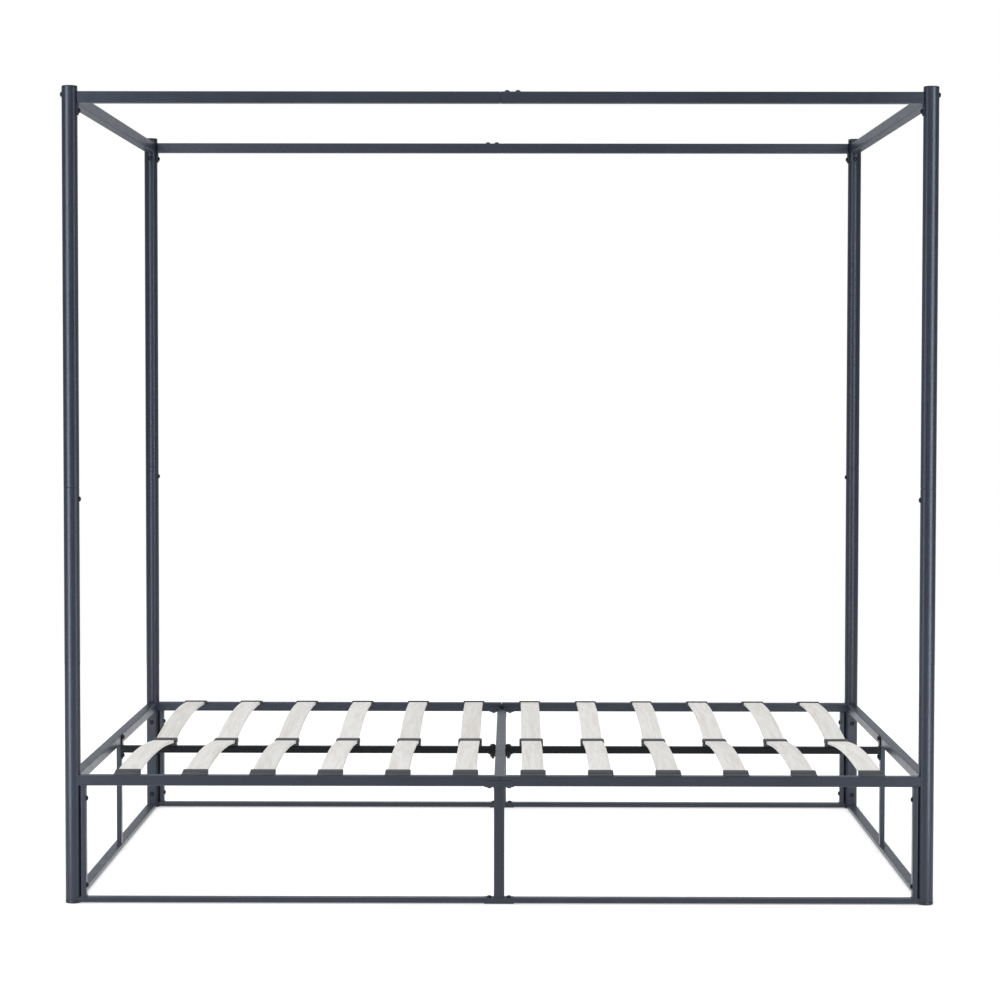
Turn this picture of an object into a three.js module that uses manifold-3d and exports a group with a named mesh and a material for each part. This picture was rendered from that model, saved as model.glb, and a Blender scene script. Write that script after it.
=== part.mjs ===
// Four poster canopy bed: a bolted steel tube frame with two rows of sprung wooden slats.
// Millimetres, +Z up. X runs along the bed, Y across it, and the origin is on the floor at
// the middle of the footprint. Each piece is one closed solid and one named mesh.
import * as THREE from "three";
import { mergeVertices } from "three/addons/utils/BufferGeometryUtils.js";
import Module from "manifold-3d";

const wasm = await Module();
wasm.setup();

// ---- driving dimensions ----
const POST_SPACING_X = 2076; // between post centres along the bed
const POST_SPACING_Y = 1556; // between post centres across the bed
const POST_TOP = 1979; // upper end of the post tube
const POST_SEAM = 1013; // where the upper post meets the lower post
const POST_DIAMETER = 38.1;
const TUBE_WALL = 1.5;
const FIT_GAP = 0.3; // left between pieces that touch
const WELD_OVERLAP = 0.5; // how far welded tubes run into each other

const FOOT_CAP_HEIGHT = 7;
const PLUG_DEPTH = 22; // how far a plastic plug reaches into its tube
const TOP_CAP_RIM = 2;
const TOP_CAP_DOME = 1.5;
const SPIGOT_LENGTH = 60; // the upper post's neck inside the lower post
const SPIGOT_CLEARANCE = 0.6;

const CANOPY_RAIL = 28; // square tube
const CANOPY_RAIL_TOP = 1968;
const SADDLE_WALL = 3; // curved plate between a canopy rail and a post
const SADDLE_HEIGHT = 57;
const SADDLE_WIDTH = 26; // narrow enough for two saddles at right angles on one post
const CANOPY_SPIGOT_REACH = 60; // each way from the seam of a canopy rail
const CANOPY_BOLT_STEPS = [17, 43]; // seam bolts, measured from the seam

const SIDE_RAIL = 25.4; // square tube of the side and end frames
const SIDE_RAIL_TOP = 313.5;
const FLAT_BAR = 12.7; // thin way of the flat uprights and the bottom rails
const BOTTOM_RAIL_LOW = 2.5;
const UPRIGHT_OFFSET = 20; // from the post's centre to the near face of an upright
const CORNER_WELD = 5; // fillet where an upright meets a bottom rail
const SEAM_HALF_GAP = 0.4;

const LEG_CHANNEL_REACH = 36; // channels on the centre legs, each way from the middle
const LEG_CHANNEL_WALL = 1.5;
const LEG_CHANNEL_TOP = 301.4; // upper edge of the upper channel's sides
const LEG_FOOT_LOW = 0.9;

const CROSS_RAIL_TOP = 297;
const CENTRE_RAIL = 19; // square tube
const CENTRE_RAIL_TOP = 284;
const HANGER_TOP = 275; // upper edge of the channel that carries the centre rails
const HANGER_REACH = 33;
const PLATE_WALL = 3; // end plates of the cross rail and the centre rails
const CROSS_PLATE = { low: 257.6, high: 311, bolts: [266, 302.5] };
const CENTRE_PLATE = { low: 247, high: 318, bolts: [257.5, 307] };

const CORNER_BOLTS = [43, 256]; // heights of the bolts between frames and posts
const SEAM_BOLT = POST_SEAM - 28;
const CANOPY_OUTER_BOLT = 1961;
const CANOPY_INNER_BOLT = 1922;
const BOLT_HEAD_RADIUS = 6.5; // domed head on the outer side of a post
const BOLT_HEAD_HEIGHT = 4.2;
const LEG_BOLT_STEP = 24; // from the middle to the bolts of the centre leg channels
const CENTRE_BOLT_STEP = 21; // from the middle to the bolts of the centre rails
const BOLT_HOLE = 7;
const VENT_HOLE = 8;

const SLATS_PER_ROW = 12;
const SLAT_PITCH = 164;
const SLAT_FIRST = 88; // from the middle to the first slat each way
const SLAT_WIDTH = 53;
const SLAT_THICKNESS = 8;
const SLAT_RISE = 16.5; // how far the middle of a slat bows up from its chord
const SLAT_OUTER_LOW = 309; // underside at the side rail
const SLAT_INNER_LOW = 291.3; // underside at the centre rail
const SLAT_INNER_END = 6; // from the middle of the bed to the slat's end
const SLAT_OUTER_END = 762;
const CAP_WIDTH = 62; // plastic cap beside a side rail
const CAP_MOUTH = 739; // from the middle of the bed to the open face of the cap
const CAP_LOW = 307.5;
const CAP_TOP = 322.4; // at the mouth
const CAP_HEEL = 318; // upper edge at the rail, where the cap's top has sloped down
const CAP_LEDGE = 2.5; // thickness of the cap's ledge on the rail
const HOLDER_WIDTH = 64; // plastic holder on the centre rail, each half
const HOLDER_LENGTH = 24;
const HOLDER_TOP = 302.3;
const PEG_DIAMETER = 8;
const PEG_LENGTH = 7;

const ROUND_STEPS = 20; // facets round a post
const HOLE_STEPS = 8;
const TUBE_CORNER = 2.5; // outer corner radius of a square tube

// ---- derived dimensions ----
const postX = POST_SPACING_X / 2;
const postY = POST_SPACING_Y / 2;
const postRadius = POST_DIAMETER / 2;
const postBore = postRadius - TUBE_WALL;
const saddleInner = postRadius + FIT_GAP;
const saddleOuter = saddleInner + SADDLE_WALL;
const railHalf = SIDE_RAIL / 2;
const canopyHalf = CANOPY_RAIL / 2;
const saddleHalf = SADDLE_WIDTH / 2;
const sideRailLow = SIDE_RAIL_TOP - SIDE_RAIL;
const bottomRailHigh = BOTTOM_RAIL_LOW + FLAT_BAR;
const canopyRailLow = CANOPY_RAIL_TOP - CANOPY_RAIL;
const centreRailLow = CENTRE_RAIL_TOP - CENTRE_RAIL;
const centreHalf = CENTRE_RAIL / 2;

// ---- materials ----
const finish = (color, roughness, metalness) => () =>
  new THREE.MeshStandardMaterial({ color, roughness, metalness });
const charcoalPowderCoat = finish("#3b3f46", 0.45, 0.4);
const blackPlastic = finish("#1c1d1f", 0.5, 0);
const birch = finish("#ddd6c8", 0.6, 0);

// ---- solids ----
function solidOf(geometry) {
  geometry.deleteAttribute("normal");
  geometry.deleteAttribute("uv");
  const merged = mergeVertices(geometry, 1e-4);
  return new wasm.Manifold(
    new wasm.Mesh({
      numProp: 3,
      vertProperties: new Float32Array(merged.attributes.position.array),
      triVerts: new Uint32Array(merged.index.array),
    }),
  );
}

const union = (pieces) => pieces.reduce((whole, piece) => whole.add(piece));
const cut = (whole, pieces) => pieces.reduce((rest, piece) => rest.subtract(piece), whole);

// Turns a shape drawn in (u, v) and extruded along w so that w is the named axis.
const [X, Y, Z] = [0, 1, 2].map((i) => new THREE.Vector3().setComponent(i, 1));
const FRAMES = {
  x: { order: [1, 2, 0], turn: new THREE.Matrix4().makeBasis(Y, Z, X) },
  y: { order: [2, 0, 1], turn: new THREE.Matrix4().makeBasis(Z, X, Y) },
  z: { order: [0, 1, 2], turn: new THREE.Matrix4().makeBasis(X, Y, Z) },
};

function extrude(shape, axis, from, to, curveSegments = 1) {
  const geometry = new THREE.ExtrudeGeometry(shape, {
    depth: to - from,
    bevelEnabled: false,
    curveSegments,
  });
  geometry.translate(0, 0, from);
  geometry.applyMatrix4(FRAMES[axis].turn);
  return solidOf(geometry);
}

// A rectangle with rounded corners, from (u0, v0) to (u1, v1).
function roundedRectangle(u0, v0, u1, v1, r) {
  const shape = new THREE.Shape();
  if (r === 0) {
    return new THREE.Shape([
      new THREE.Vector2(u0, v0),
      new THREE.Vector2(u1, v0),
      new THREE.Vector2(u1, v1),
      new THREE.Vector2(u0, v1),
    ]);
  }
  shape.absarc(u1 - r, v0 + r, r, -Math.PI / 2, 0);
  shape.absarc(u1 - r, v1 - r, r, 0, Math.PI / 2);
  shape.absarc(u0 + r, v1 - r, r, Math.PI / 2, Math.PI);
  shape.absarc(u0 + r, v0 + r, r, Math.PI, Math.PI * 1.5);
  return shape;
}

// A solid bar along an axis, between two opposite corners.
function bar(axis, low, high, radius = TUBE_CORNER) {
  const [u, v, w] = FRAMES[axis].order;
  const section = roundedRectangle(low[u], low[v], high[u], high[v], radius);
  return extrude(section, axis, low[w], high[w]);
}

// The hollow of such a bar: its wall taken off each side, and longer or shorter at its ends.
function bore(axis, low, high, startReach = 1, endReach = 1, wall = TUBE_WALL) {
  const [u, v, w] = FRAMES[axis].order;
  const [from, to] = [[...low], [...high]];
  for (const side of [u, v]) {
    from[side] += wall;
    to[side] -= wall;
  }
  from[w] -= startReach;
  to[w] += endReach;
  return bar(axis, from, to, 0);
}

// A round bar along an axis through a point, with flats outside the true circle.
function roundBar(axis, centre, radius, from, to, steps = HOLE_STEPS) {
  const [u, v] = FRAMES[axis].order;
  const outer = radius / Math.cos(Math.PI / steps);
  const corners = Array.from({ length: steps }, (_, i) => {
    const angle = ((i + 0.5) * 2 * Math.PI) / steps;
    return new THREE.Vector2(
      centre[u] + outer * Math.cos(angle),
      centre[v] + outer * Math.sin(angle),
    );
  });
  return extrude(new THREE.Shape(corners), axis, from, to);
}

// A ring or a plug turned about an axis, from [radius, height] points that run anticlockwise.
function turned(profile, centre, axis = "z") {
  const points = [...profile, profile[0]].map(([r, z]) => new THREE.Vector2(r, z));
  const geometry = new THREE.LatheGeometry(points, ROUND_STEPS);
  geometry.rotateX(Math.PI / 2);
  geometry.applyMatrix4(FRAMES[axis].turn);
  geometry.translate(...centre);
  return solidOf(geometry);
}

// ---- scene graph ----
const bed = new THREE.Group();

function geometryOf(solid) {
  const made = solid.getMesh();
  const geometry = new THREE.BufferGeometry();
  geometry.setAttribute("position", new THREE.BufferAttribute(made.vertProperties, 3));
  geometry.setIndex(new THREE.BufferAttribute(made.triVerts, 1));
  const flat = geometry.toNonIndexed();
  flat.computeVertexNormals();
  return flat;
}

// Adds one mesh. side and end of 1 keep the piece in the rear right quarter, where it is
// modelled, and -1 mirrors it to the front or to the left.
function place(name, geometry, material, end = 1, side = 1) {
  const mesh = new THREE.Mesh(geometry, material());
  mesh.name = name;
  mesh.scale.set(end, side, 1);
  bed.add(mesh);
}

const ENDS = { left: -1, right: 1 };
const SIDES = { front: -1, rear: 1 };

function placeAtCorners(stem, geometry, material) {
  for (const [sideName, side] of Object.entries(SIDES)) {
    for (const [endName, end] of Object.entries(ENDS)) {
      place(`${stem}_${sideName}_${endName}`, geometry, material, end, side);
    }
  }
}

// ---- posts, modelled at the rear right corner ----
const corner = [postX, postY, 0];

// Holes from the inner sides of a post to its bore, at the given heights.
function innerPostHoles(axis, heights) {
  const at = axis === "x" ? postX : postY;
  return heights.map((z) =>
    roundBar(axis, [postX, postY, z], BOLT_HOLE / 2, at - postRadius - 1, at - postRadius / 2),
  );
}

function lowerPost() {
  const low = FOOT_CAP_HEIGHT + FIT_GAP;
  const tube = turned(
    [
      [postBore, low],
      [postRadius, low],
      [postRadius, POST_SEAM - 1],
      [postRadius - 0.8, POST_SEAM],
      [postBore, POST_SEAM],
    ],
    corner,
  );
  return cut(tube, [
    ...innerPostHoles("x", [...CORNER_BOLTS, SEAM_BOLT]),
    ...innerPostHoles("y", CORNER_BOLTS),
  ]);
}

// The head of the bolt that runs through the post into a long canopy rail. It is one with
// the post and fills the outer hole.
function outerBoltHead() {
  const seat = postBore + WELD_OVERLAP / 2;
  const rim = postRadius + BOLT_HEAD_HEIGHT / 4;
  const crown = postRadius + BOLT_HEAD_HEIGHT;
  return turned(
    [
      [0, seat],
      [BOLT_HEAD_RADIUS, seat],
      [BOLT_HEAD_RADIUS, rim],
      [BOLT_HEAD_RADIUS * 0.75, crown - BOLT_HEAD_HEIGHT / 4],
      [BOLT_HEAD_RADIUS * 0.35, crown],
      [0, crown],
    ],
    [postX, postY, CANOPY_OUTER_BOLT],
    "x",
  );
}

function upperPost() {
  const shoulder = POST_SEAM + FIT_GAP;
  const neck = postBore - SPIGOT_CLEARANCE;
  const neckBore = neck - TUBE_WALL;
  const tube = turned(
    [
      [neckBore, POST_SEAM - SPIGOT_LENGTH],
      [neck - 1, POST_SEAM - SPIGOT_LENGTH],
      [neck, POST_SEAM - SPIGOT_LENGTH + 3],
      [neck, shoulder],
      [postRadius - 0.8, shoulder],
      [postRadius, shoulder + 1],
      [postRadius, POST_TOP],
      [postBore, POST_TOP],
      [postBore, shoulder + 4],
      [neckBore, shoulder + 1],
    ],
    corner,
  );
  return cut(tube.add(outerBoltHead()), [
    ...innerPostHoles("x", [SEAM_BOLT, CANOPY_INNER_BOLT, CANOPY_OUTER_BOLT]),
    ...innerPostHoles("y", [CANOPY_INNER_BOLT]),
  ]);
}

// The plug's ribbed stem is plain here: a cup that is open towards the tube.
function footCap() {
  const stem = postBore - FIT_GAP;
  return turned(
    [
      [0, 0],
      [postRadius - 1.6, 0],
      [postRadius, 2],
      [postRadius, FOOT_CAP_HEIGHT],
      [stem, FOOT_CAP_HEIGHT],
      [stem - 1, FOOT_CAP_HEIGHT + PLUG_DEPTH],
      [stem - 3, FOOT_CAP_HEIGHT + PLUG_DEPTH],
      [stem - 3, FOOT_CAP_HEIGHT],
      [0, FOOT_CAP_HEIGHT],
    ],
    corner,
  );
}

// It stops above the post's uppermost bolt.
function topCap() {
  const stem = postBore - FIT_GAP;
  const seat = POST_TOP + FIT_GAP;
  const stemLow = CANOPY_OUTER_BOLT + BOLT_HOLE;
  return turned(
    [
      [0, seat],
      [stem - 3, seat],
      [stem - 3, stemLow],
      [stem - 1, stemLow],
      [stem, seat],
      [postRadius, seat],
      [postRadius, seat + TOP_CAP_RIM],
      [postRadius * 0.85, seat + TOP_CAP_RIM + TOP_CAP_DOME * 0.6],
      [0, seat + TOP_CAP_RIM + TOP_CAP_DOME],
    ],
    corner,
  );
}

placeAtCorners("lower_post", geometryOf(lowerPost()), charcoalPowderCoat);
placeAtCorners("upper_post", geometryOf(upperPost()), charcoalPowderCoat);
placeAtCorners("foot_cap", geometryOf(footCap()), blackPlastic);
placeAtCorners("post_cap", geometryOf(topCap()), blackPlastic);

// ---- canopy rails ----
// A curved plate against the inner side of a post, with a tongue below the rail that ends
// in a half circle round its bolt.
function saddle(axis) {
  const [across, along, inward] = axis === "x" ? [postY, postX, "x"] : [postX, postY, "y"];
  const tongueLow = CANOPY_RAIL_TOP - SADDLE_HEIGHT;
  const low = tongueLow + saddleHalf;
  const outline = new THREE.Shape();
  const draw = (u, v) => (axis === "x" ? [u, v] : [v, u]);
  const steps = 8;
  const points = [
    [across - saddleHalf, CANOPY_RAIL_TOP],
    [across + saddleHalf, CANOPY_RAIL_TOP],
  ];
  for (let i = 0; i <= steps; i += 1) {
    const angle = (-Math.PI * i) / steps;
    points.push([across + saddleHalf * Math.cos(angle), low + saddleHalf * Math.sin(angle)]);
  }
  outline.setFromPoints(points.map(([u, v]) => new THREE.Vector2(...draw(u, v))));
  const tongue = extrude(outline, inward, along - saddleOuter - 1, along - saddleInner / 2);
  const shell = roundBar("z", corner, saddleOuter, tongueLow - 1, POST_TOP, ROUND_STEPS);
  const post = roundBar("z", corner, saddleInner, tongueLow - 2, POST_TOP + 1, ROUND_STEPS);
  return tongue.intersect(shell).subtract(post);
}

const boltThroughSaddle = (axis, z) => {
  const along = axis === "x" ? postX : postY;
  return roundBar(axis, [postX, postY, z], BOLT_HOLE / 2, along - saddleOuter - 3, along);
};

// Half of a long canopy rail, from the seam at the middle to a post.
function canopyRailHalf(withSpigot) {
  const low = [SEAM_HALF_GAP, postY - canopyHalf, canopyRailLow];
  const high = [postX - saddleOuter + WELD_OVERLAP, postY + canopyHalf, CANOPY_RAIL_TOP];
  const tube = bar("x", low, high).subtract(bore("x", low, high, 1, -WELD_OVERLAP));
  const holes = [
    boltThroughSaddle("x", CANOPY_OUTER_BOLT),
    boltThroughSaddle("x", CANOPY_INNER_BOLT),
  ];
  if (!withSpigot) {
    for (const step of CANOPY_BOLT_STEPS) {
      const centre = [step, postY, 0];
      holes.push(roundBar("z", centre, BOLT_HOLE / 2, CANOPY_RAIL_TOP - 5, CANOPY_RAIL_TOP + 1));
    }
    return cut(tube.add(saddle("x")), holes);
  }
  // The joining tube is welded in this half and slides into the other.
  const slide = TUBE_WALL + SPIGOT_CLEARANCE;
  const joinLow = [-CANOPY_SPIGOT_REACH, low[1] + slide, low[2] + slide];
  const joinHigh = [CANOPY_SPIGOT_REACH, high[1] - slide, high[2] - slide];
  const joinBore = bore("x", joinLow, joinHigh);
  const joiner = bar("x", joinLow, joinHigh, 1.5).subtract(joinBore);
  const weldRing = bar(
    "x",
    [CANOPY_SPIGOT_REACH / 2, low[1] + 1, low[2] + 1],
    [CANOPY_SPIGOT_REACH / 2 + 4, high[1] - 1, high[2] - 1],
    1,
  ).subtract(joinBore);
  for (const step of CANOPY_BOLT_STEPS) {
    const centre = [-step, postY, 0];
    holes.push(roundBar("z", centre, BOLT_HOLE / 2, CANOPY_RAIL_TOP - 8, CANOPY_RAIL_TOP + 1));
  }
  return cut(union([tube, joiner, weldRing, saddle("x")]), holes);
}

// An end rail of the canopy in one piece. The vents let air out of the welded tube.
function canopyEndRail() {
  const reach = postY - saddleOuter + WELD_OVERLAP;
  const low = [postX - canopyHalf, -reach, canopyRailLow];
  const high = [postX + canopyHalf, reach, CANOPY_RAIL_TOP];
  const hollow = bore("y", low, high, -WELD_OVERLAP, -WELD_OVERLAP);
  const tube = bar("y", low, high).subtract(hollow);
  const rearSaddle = saddle("y");
  const frontSaddle = rearSaddle.mirror([0, 1, 0]);
  const railMiddle = CANOPY_RAIL_TOP - canopyHalf;
  const holeAt = (z, diameter, side) => {
    const [a, b] = [side * (postY - saddleOuter - 3), side * postY];
    const centre = [postX, 0, z];
    return roundBar("y", centre, diameter / 2, Math.min(a, b), Math.max(a, b));
  };
  const holes = [-1, 1].flatMap((side) => [
    holeAt(railMiddle, VENT_HOLE, side),
    holeAt(CANOPY_INNER_BOLT, BOLT_HOLE, side),
  ]);
  return cut(union([tube, rearSaddle, frontSaddle]), holes);
}

const plainHalf = geometryOf(canopyRailHalf(false));
const spigotHalf = geometryOf(canopyRailHalf(true));
place("canopy_rail_front_left", spigotHalf, charcoalPowderCoat, -1, -1);
place("canopy_rail_front_right", plainHalf, charcoalPowderCoat, 1, -1);
place("canopy_rail_rear_left", plainHalf, charcoalPowderCoat, -1, 1);
place("canopy_rail_rear_right", spigotHalf, charcoalPowderCoat, 1, 1);

const endRail = geometryOf(canopyEndRail());
for (const [endName, end] of Object.entries(ENDS)) {
  place(`canopy_end_rail_${endName}`, endRail, charcoalPowderCoat, end);
}

// ---- side and end frames ----
// What a frame's rails are cut back by, so that their ends follow the round post.
const postClearance = roundBar("z", corner, saddleInner, 0, SIDE_RAIL_TOP + 1, ROUND_STEPS);

// A quarter circle of weld in the corner above a bottom rail, next to an upright.
function cornerWeld(axis, at, towards, depthFrom, depthTo) {
  const z = bottomRailHigh - WELD_OVERLAP;
  const size = CORNER_WELD + WELD_OVERLAP;
  const start = at - towards * WELD_OVERLAP;
  const points = [[start, z], [start + towards * size, z]];
  for (let i = 1; i < 4; i += 1) {
    const angle = (Math.PI / 2) * (i / 4);
    points.push([
      start + towards * size * (1 - Math.sin(angle)),
      z + size * (1 - Math.cos(angle)),
    ]);
  }
  points.push([start, z + size]);
  const swap = axis === "x";
  const shape = new THREE.Shape(
    points.map(([along, up]) => (swap ? new THREE.Vector2(up, along) : new THREE.Vector2(along, up))),
  );
  return extrude(shape, swap ? "y" : "x", depthFrom, depthTo);
}

const slatPositions = Array.from(
  { length: SLATS_PER_ROW / 2 },
  (_, i) => SLAT_FIRST + i * SLAT_PITCH,
);

// The hole for a slat holder's peg in the top wall of a rail.
function pegHole(centre, railTop) {
  const radius = PEG_DIAMETER / 2 + FIT_GAP;
  return roundBar("z", centre, radius, railTop - TUBE_WALL - 1, railTop + 1);
}

// Half of a long side, from the seam at the middle to a post.
function sideFrame() {
  const near = postY - railHalf;
  const far = postY + railHalf;
  const outerFace = postX - UPRIGHT_OFFSET;
  const innerFace = outerFace - FLAT_BAR;
  const top = [[SEAM_HALF_GAP, near, sideRailLow], [postX, far, SIDE_RAIL_TOP]];
  const bottomStart = railHalf + SEAM_HALF_GAP + FIT_GAP;
  const bottom = [[bottomStart, near, BOTTOM_RAIL_LOW], [postX, far, bottomRailHigh]];
  const upright = [
    [innerFace, near, bottomRailHigh - WELD_OVERLAP],
    [outerFace, far, sideRailLow + WELD_OVERLAP],
  ];
  const outside = union([
    bar("x", ...top),
    bar("x", ...bottom),
    bar("z", ...upright),
    cornerWeld("x", innerFace, -1, near + 3, far - 3),
  ]);
  const hollow = union([
    bore("x", ...top),
    bore("x", ...bottom),
    bore("z", ...upright, TUBE_WALL + 1, TUBE_WALL + 1),
  ]);
  const uprightBolts = CORNER_BOLTS.map((z) =>
    roundBar("x", [0, postY, z], BOLT_HOLE / 2, innerFace - 1, outerFace + 1),
  );
  const pegHoles = slatPositions.map((x) => pegHole([x, postY, 0], SIDE_RAIL_TOP));
  const topBolt = [LEG_BOLT_STEP, postY, 0];
  const legBolts = [
    roundBar("z", topBolt, BOLT_HOLE / 2, sideRailLow - 1, sideRailLow + TUBE_WALL + 1),
    roundBar("z", topBolt, BOLT_HOLE / 2, BOTTOM_RAIL_LOW - 1, bottomRailHigh + 1),
  ];
  return cut(outside, [hollow, postClearance, ...uprightBolts, ...pegHoles, ...legBolts]);
}

// A whole head or foot end, with a middle upright that takes the centre rail.
function endFrame() {
  const near = postX - railHalf;
  const far = postX + railHalf;
  const outerFace = postY - UPRIGHT_OFFSET;
  const innerFace = outerFace - FLAT_BAR;
  const top = [[near, -postY, sideRailLow], [far, postY, SIDE_RAIL_TOP]];
  const bottom = [[near, -postY, BOTTOM_RAIL_LOW], [far, postY, bottomRailHigh]];
  const uprightLow = bottomRailHigh - WELD_OVERLAP;
  const uprightHigh = sideRailLow + WELD_OVERLAP;
  const uprights = [
    [[near, innerFace, uprightLow], [far, outerFace, uprightHigh]],
    [[near, -outerFace, uprightLow], [far, -innerFace, uprightHigh]],
    [[near, -railHalf, uprightLow], [near + FLAT_BAR, railHalf, uprightHigh]],
  ];
  const outside = union([
    bar("y", ...top),
    bar("y", ...bottom),
    ...uprights.map((ends) => bar("z", ...ends)),
    cornerWeld("y", innerFace, -1, near + 3, far - 3),
    cornerWeld("y", -innerFace, 1, near + 3, far - 3),
  ]);
  const hollow = union([
    bore("y", ...top),
    bore("y", ...bottom),
    ...uprights.map((ends) => bore("z", ...ends, TUBE_WALL + 1, TUBE_WALL + 1)),
  ]);
  const cornerBolts = CORNER_BOLTS.flatMap((z) =>
    [-1, 1].map((side) => {
      const [a, b] = [side * (innerFace - 1), side * (outerFace + 1)];
      const centre = [postX, 0, z];
      return roundBar("y", centre, BOLT_HOLE / 2, Math.min(a, b), Math.max(a, b));
    }),
  );
  const plateBolts = CENTRE_PLATE.bolts.map((z) =>
    roundBar("x", [0, 0, z], BOLT_HOLE / 2, near - 1, near + TUBE_WALL + 1),
  );
  const frontClearance = postClearance.mirror([0, 1, 0]);
  return cut(outside, [hollow, postClearance, frontClearance, ...cornerBolts, ...plateBolts]);
}

placeAtCorners("side_frame", geometryOf(sideFrame()), charcoalPowderCoat);
const wholeEnd = geometryOf(endFrame());
for (const [endName, end] of Object.entries(ENDS)) {
  place(`end_frame_${endName}`, wholeEnd, charcoalPowderCoat, end);
}

// ---- centre legs ----
// An open-topped channel along X: a floor with two sides, round a bar of half width half.
function channel(centreY, reach, half, floorTop, sideTop, wall) {
  const inner = half + FIT_GAP;
  const outer = inner + wall;
  const low = floorTop - wall;
  const whole = bar(
    "x",
    [-reach, centreY - outer, low],
    [reach, centreY + outer, sideTop],
    0,
  );
  const inside = bar(
    "x",
    [-reach - 1, centreY - inner, floorTop],
    [reach + 1, centreY + inner, sideTop + 1],
    0,
  );
  return whole.subtract(inside);
}

function centreLeg() {
  const upperFloor = sideRailLow - FIT_GAP;
  const lowerFloor = BOTTOM_RAIL_LOW - FIT_GAP;
  const lowerWall = lowerFloor - LEG_FOOT_LOW;
  const low = [-railHalf, postY - railHalf, lowerFloor - WELD_OVERLAP];
  const high = [railHalf, postY + railHalf, upperFloor - LEG_CHANNEL_WALL + WELD_OVERLAP];
  const outside = union([
    bar("z", low, high),
    channel(postY, LEG_CHANNEL_REACH, railHalf, upperFloor, LEG_CHANNEL_TOP, LEG_CHANNEL_WALL),
    channel(postY, LEG_CHANNEL_REACH, railHalf, lowerFloor, bottomRailHigh, lowerWall),
  ]);
  const hollow = bore("z", low, high, -2, -1);
  const vent = roundBar("z", [0, postY, 0], VENT_HOLE / 2, LEG_FOOT_LOW - 1, lowerFloor + 4);
  const bolts = [-1, 1].flatMap((end) => {
    const centre = [end * LEG_BOLT_STEP, postY, 0];
    return [
      roundBar("z", centre, BOLT_HOLE / 2, upperFloor - LEG_CHANNEL_WALL - 1, upperFloor + 1),
      roundBar("z", centre, BOLT_HOLE / 2, LEG_FOOT_LOW - 1, lowerFloor + 1),
    ];
  });
  return cut(outside, [hollow, vent, ...bolts]);
}

const leg = geometryOf(centreLeg());
for (const [sideName, side] of Object.entries(SIDES)) {
  place(`centre_leg_${sideName}`, leg, charcoalPowderCoat, 1, side);
}

// ---- cross rail and centre rails ----
// A flat plate square to an axis, rounded at both ends, with two bolt holes.
function endPlate(axis, from, to, plate) {
  const half = railHalf;
  const steps = 8;
  const points = [];
  for (let i = 0; i <= steps; i += 1) {
    const angle = (Math.PI * i) / steps;
    points.push([half * Math.cos(angle), plate.high - half + half * Math.sin(angle)]);
  }
  for (let i = 0; i <= steps; i += 1) {
    const angle = Math.PI + (Math.PI * i) / steps;
    points.push([half * Math.cos(angle), plate.low + half + half * Math.sin(angle)]);
  }
  const draw = ([across, up]) =>
    axis === "x" ? new THREE.Vector2(across, up) : new THREE.Vector2(up, across);
  const holes = plate.bolts.map((z) =>
    roundBar(axis, [0, 0, z], BOLT_HOLE / 2, from - 1, to + 1),
  );
  return cut(extrude(new THREE.Shape(points.map(draw)), axis, from, to), holes);
}

// The channel welded under the cross rail. It carries the inner ends of the centre rails, and
// its sides are notched for the cross rail.
function centreHanger() {
  const floor = centreRailLow - FIT_GAP;
  const trough = channel(0, HANGER_REACH, centreHalf, floor, HANGER_TOP, LEG_CHANNEL_WALL);
  const notchHalf = railHalf + FIT_GAP;
  const notch = bar(
    "y",
    [-notchHalf, -CENTRE_RAIL, CROSS_RAIL_TOP - SIDE_RAIL - FIT_GAP],
    [notchHalf, CENTRE_RAIL, CROSS_RAIL_TOP],
    0,
  );
  const bolts = [-1, 1].map((end) => {
    const centre = [end * CENTRE_BOLT_STEP, 0, 0];
    return roundBar("z", centre, BOLT_HOLE / 2, floor - LEG_CHANNEL_WALL - 1, floor + 1);
  });
  return cut(trough, [notch, ...bolts]);
}

function crossRail() {
  const plateFace = postY - railHalf - FIT_GAP - LEG_CHANNEL_WALL - FIT_GAP;
  const plateBack = plateFace - PLATE_WALL;
  const low = [-railHalf, -plateBack - WELD_OVERLAP, CROSS_RAIL_TOP - SIDE_RAIL];
  const high = [railHalf, plateBack + WELD_OVERLAP, CROSS_RAIL_TOP];
  const underside = low[2];
  const outside = union([
    bar("y", low, high),
    endPlate("y", plateBack, plateFace, CROSS_PLATE),
    endPlate("y", -plateFace, -plateBack, CROSS_PLATE),
  ]);
  const hollow = bore("y", low, high, -WELD_OVERLAP, -WELD_OVERLAP);
  const vent = roundBar("z", [0, 0, 0], VENT_HOLE / 2, underside - 1, underside + 4);
  return cut(outside, [hollow, vent]);
}

function centreRail() {
  const plateFace = postX - railHalf - FIT_GAP;
  const plateBack = plateFace - PLATE_WALL;
  const low = [railHalf + FIT_GAP, -centreHalf, centreRailLow];
  const high = [plateBack + WELD_OVERLAP, centreHalf, CENTRE_RAIL_TOP];
  const outside = union([
    bar("x", low, high, 2),
    endPlate("x", plateBack, plateFace, CENTRE_PLATE),
  ]);
  const bolt = roundBar(
    "z",
    [CENTRE_BOLT_STEP, 0, 0],
    BOLT_HOLE / 2,
    centreRailLow - 1,
    CENTRE_RAIL_TOP + 1,
  );
  const pegHoles = slatPositions.map((x) => pegHole([x, 0, 0], CENTRE_RAIL_TOP));
  return cut(outside, [bore("x", low, high, 1, -WELD_OVERLAP), bolt, ...pegHoles]);
}

place("cross_rail", geometryOf(crossRail()), charcoalPowderCoat);
place("centre_hanger", geometryOf(centreHanger()), charcoalPowderCoat);
const lengthRail = geometryOf(centreRail());
for (const [endName, end] of Object.entries(ENDS)) {
  place(`centre_rail_${endName}`, lengthRail, charcoalPowderCoat, end);
}

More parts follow.
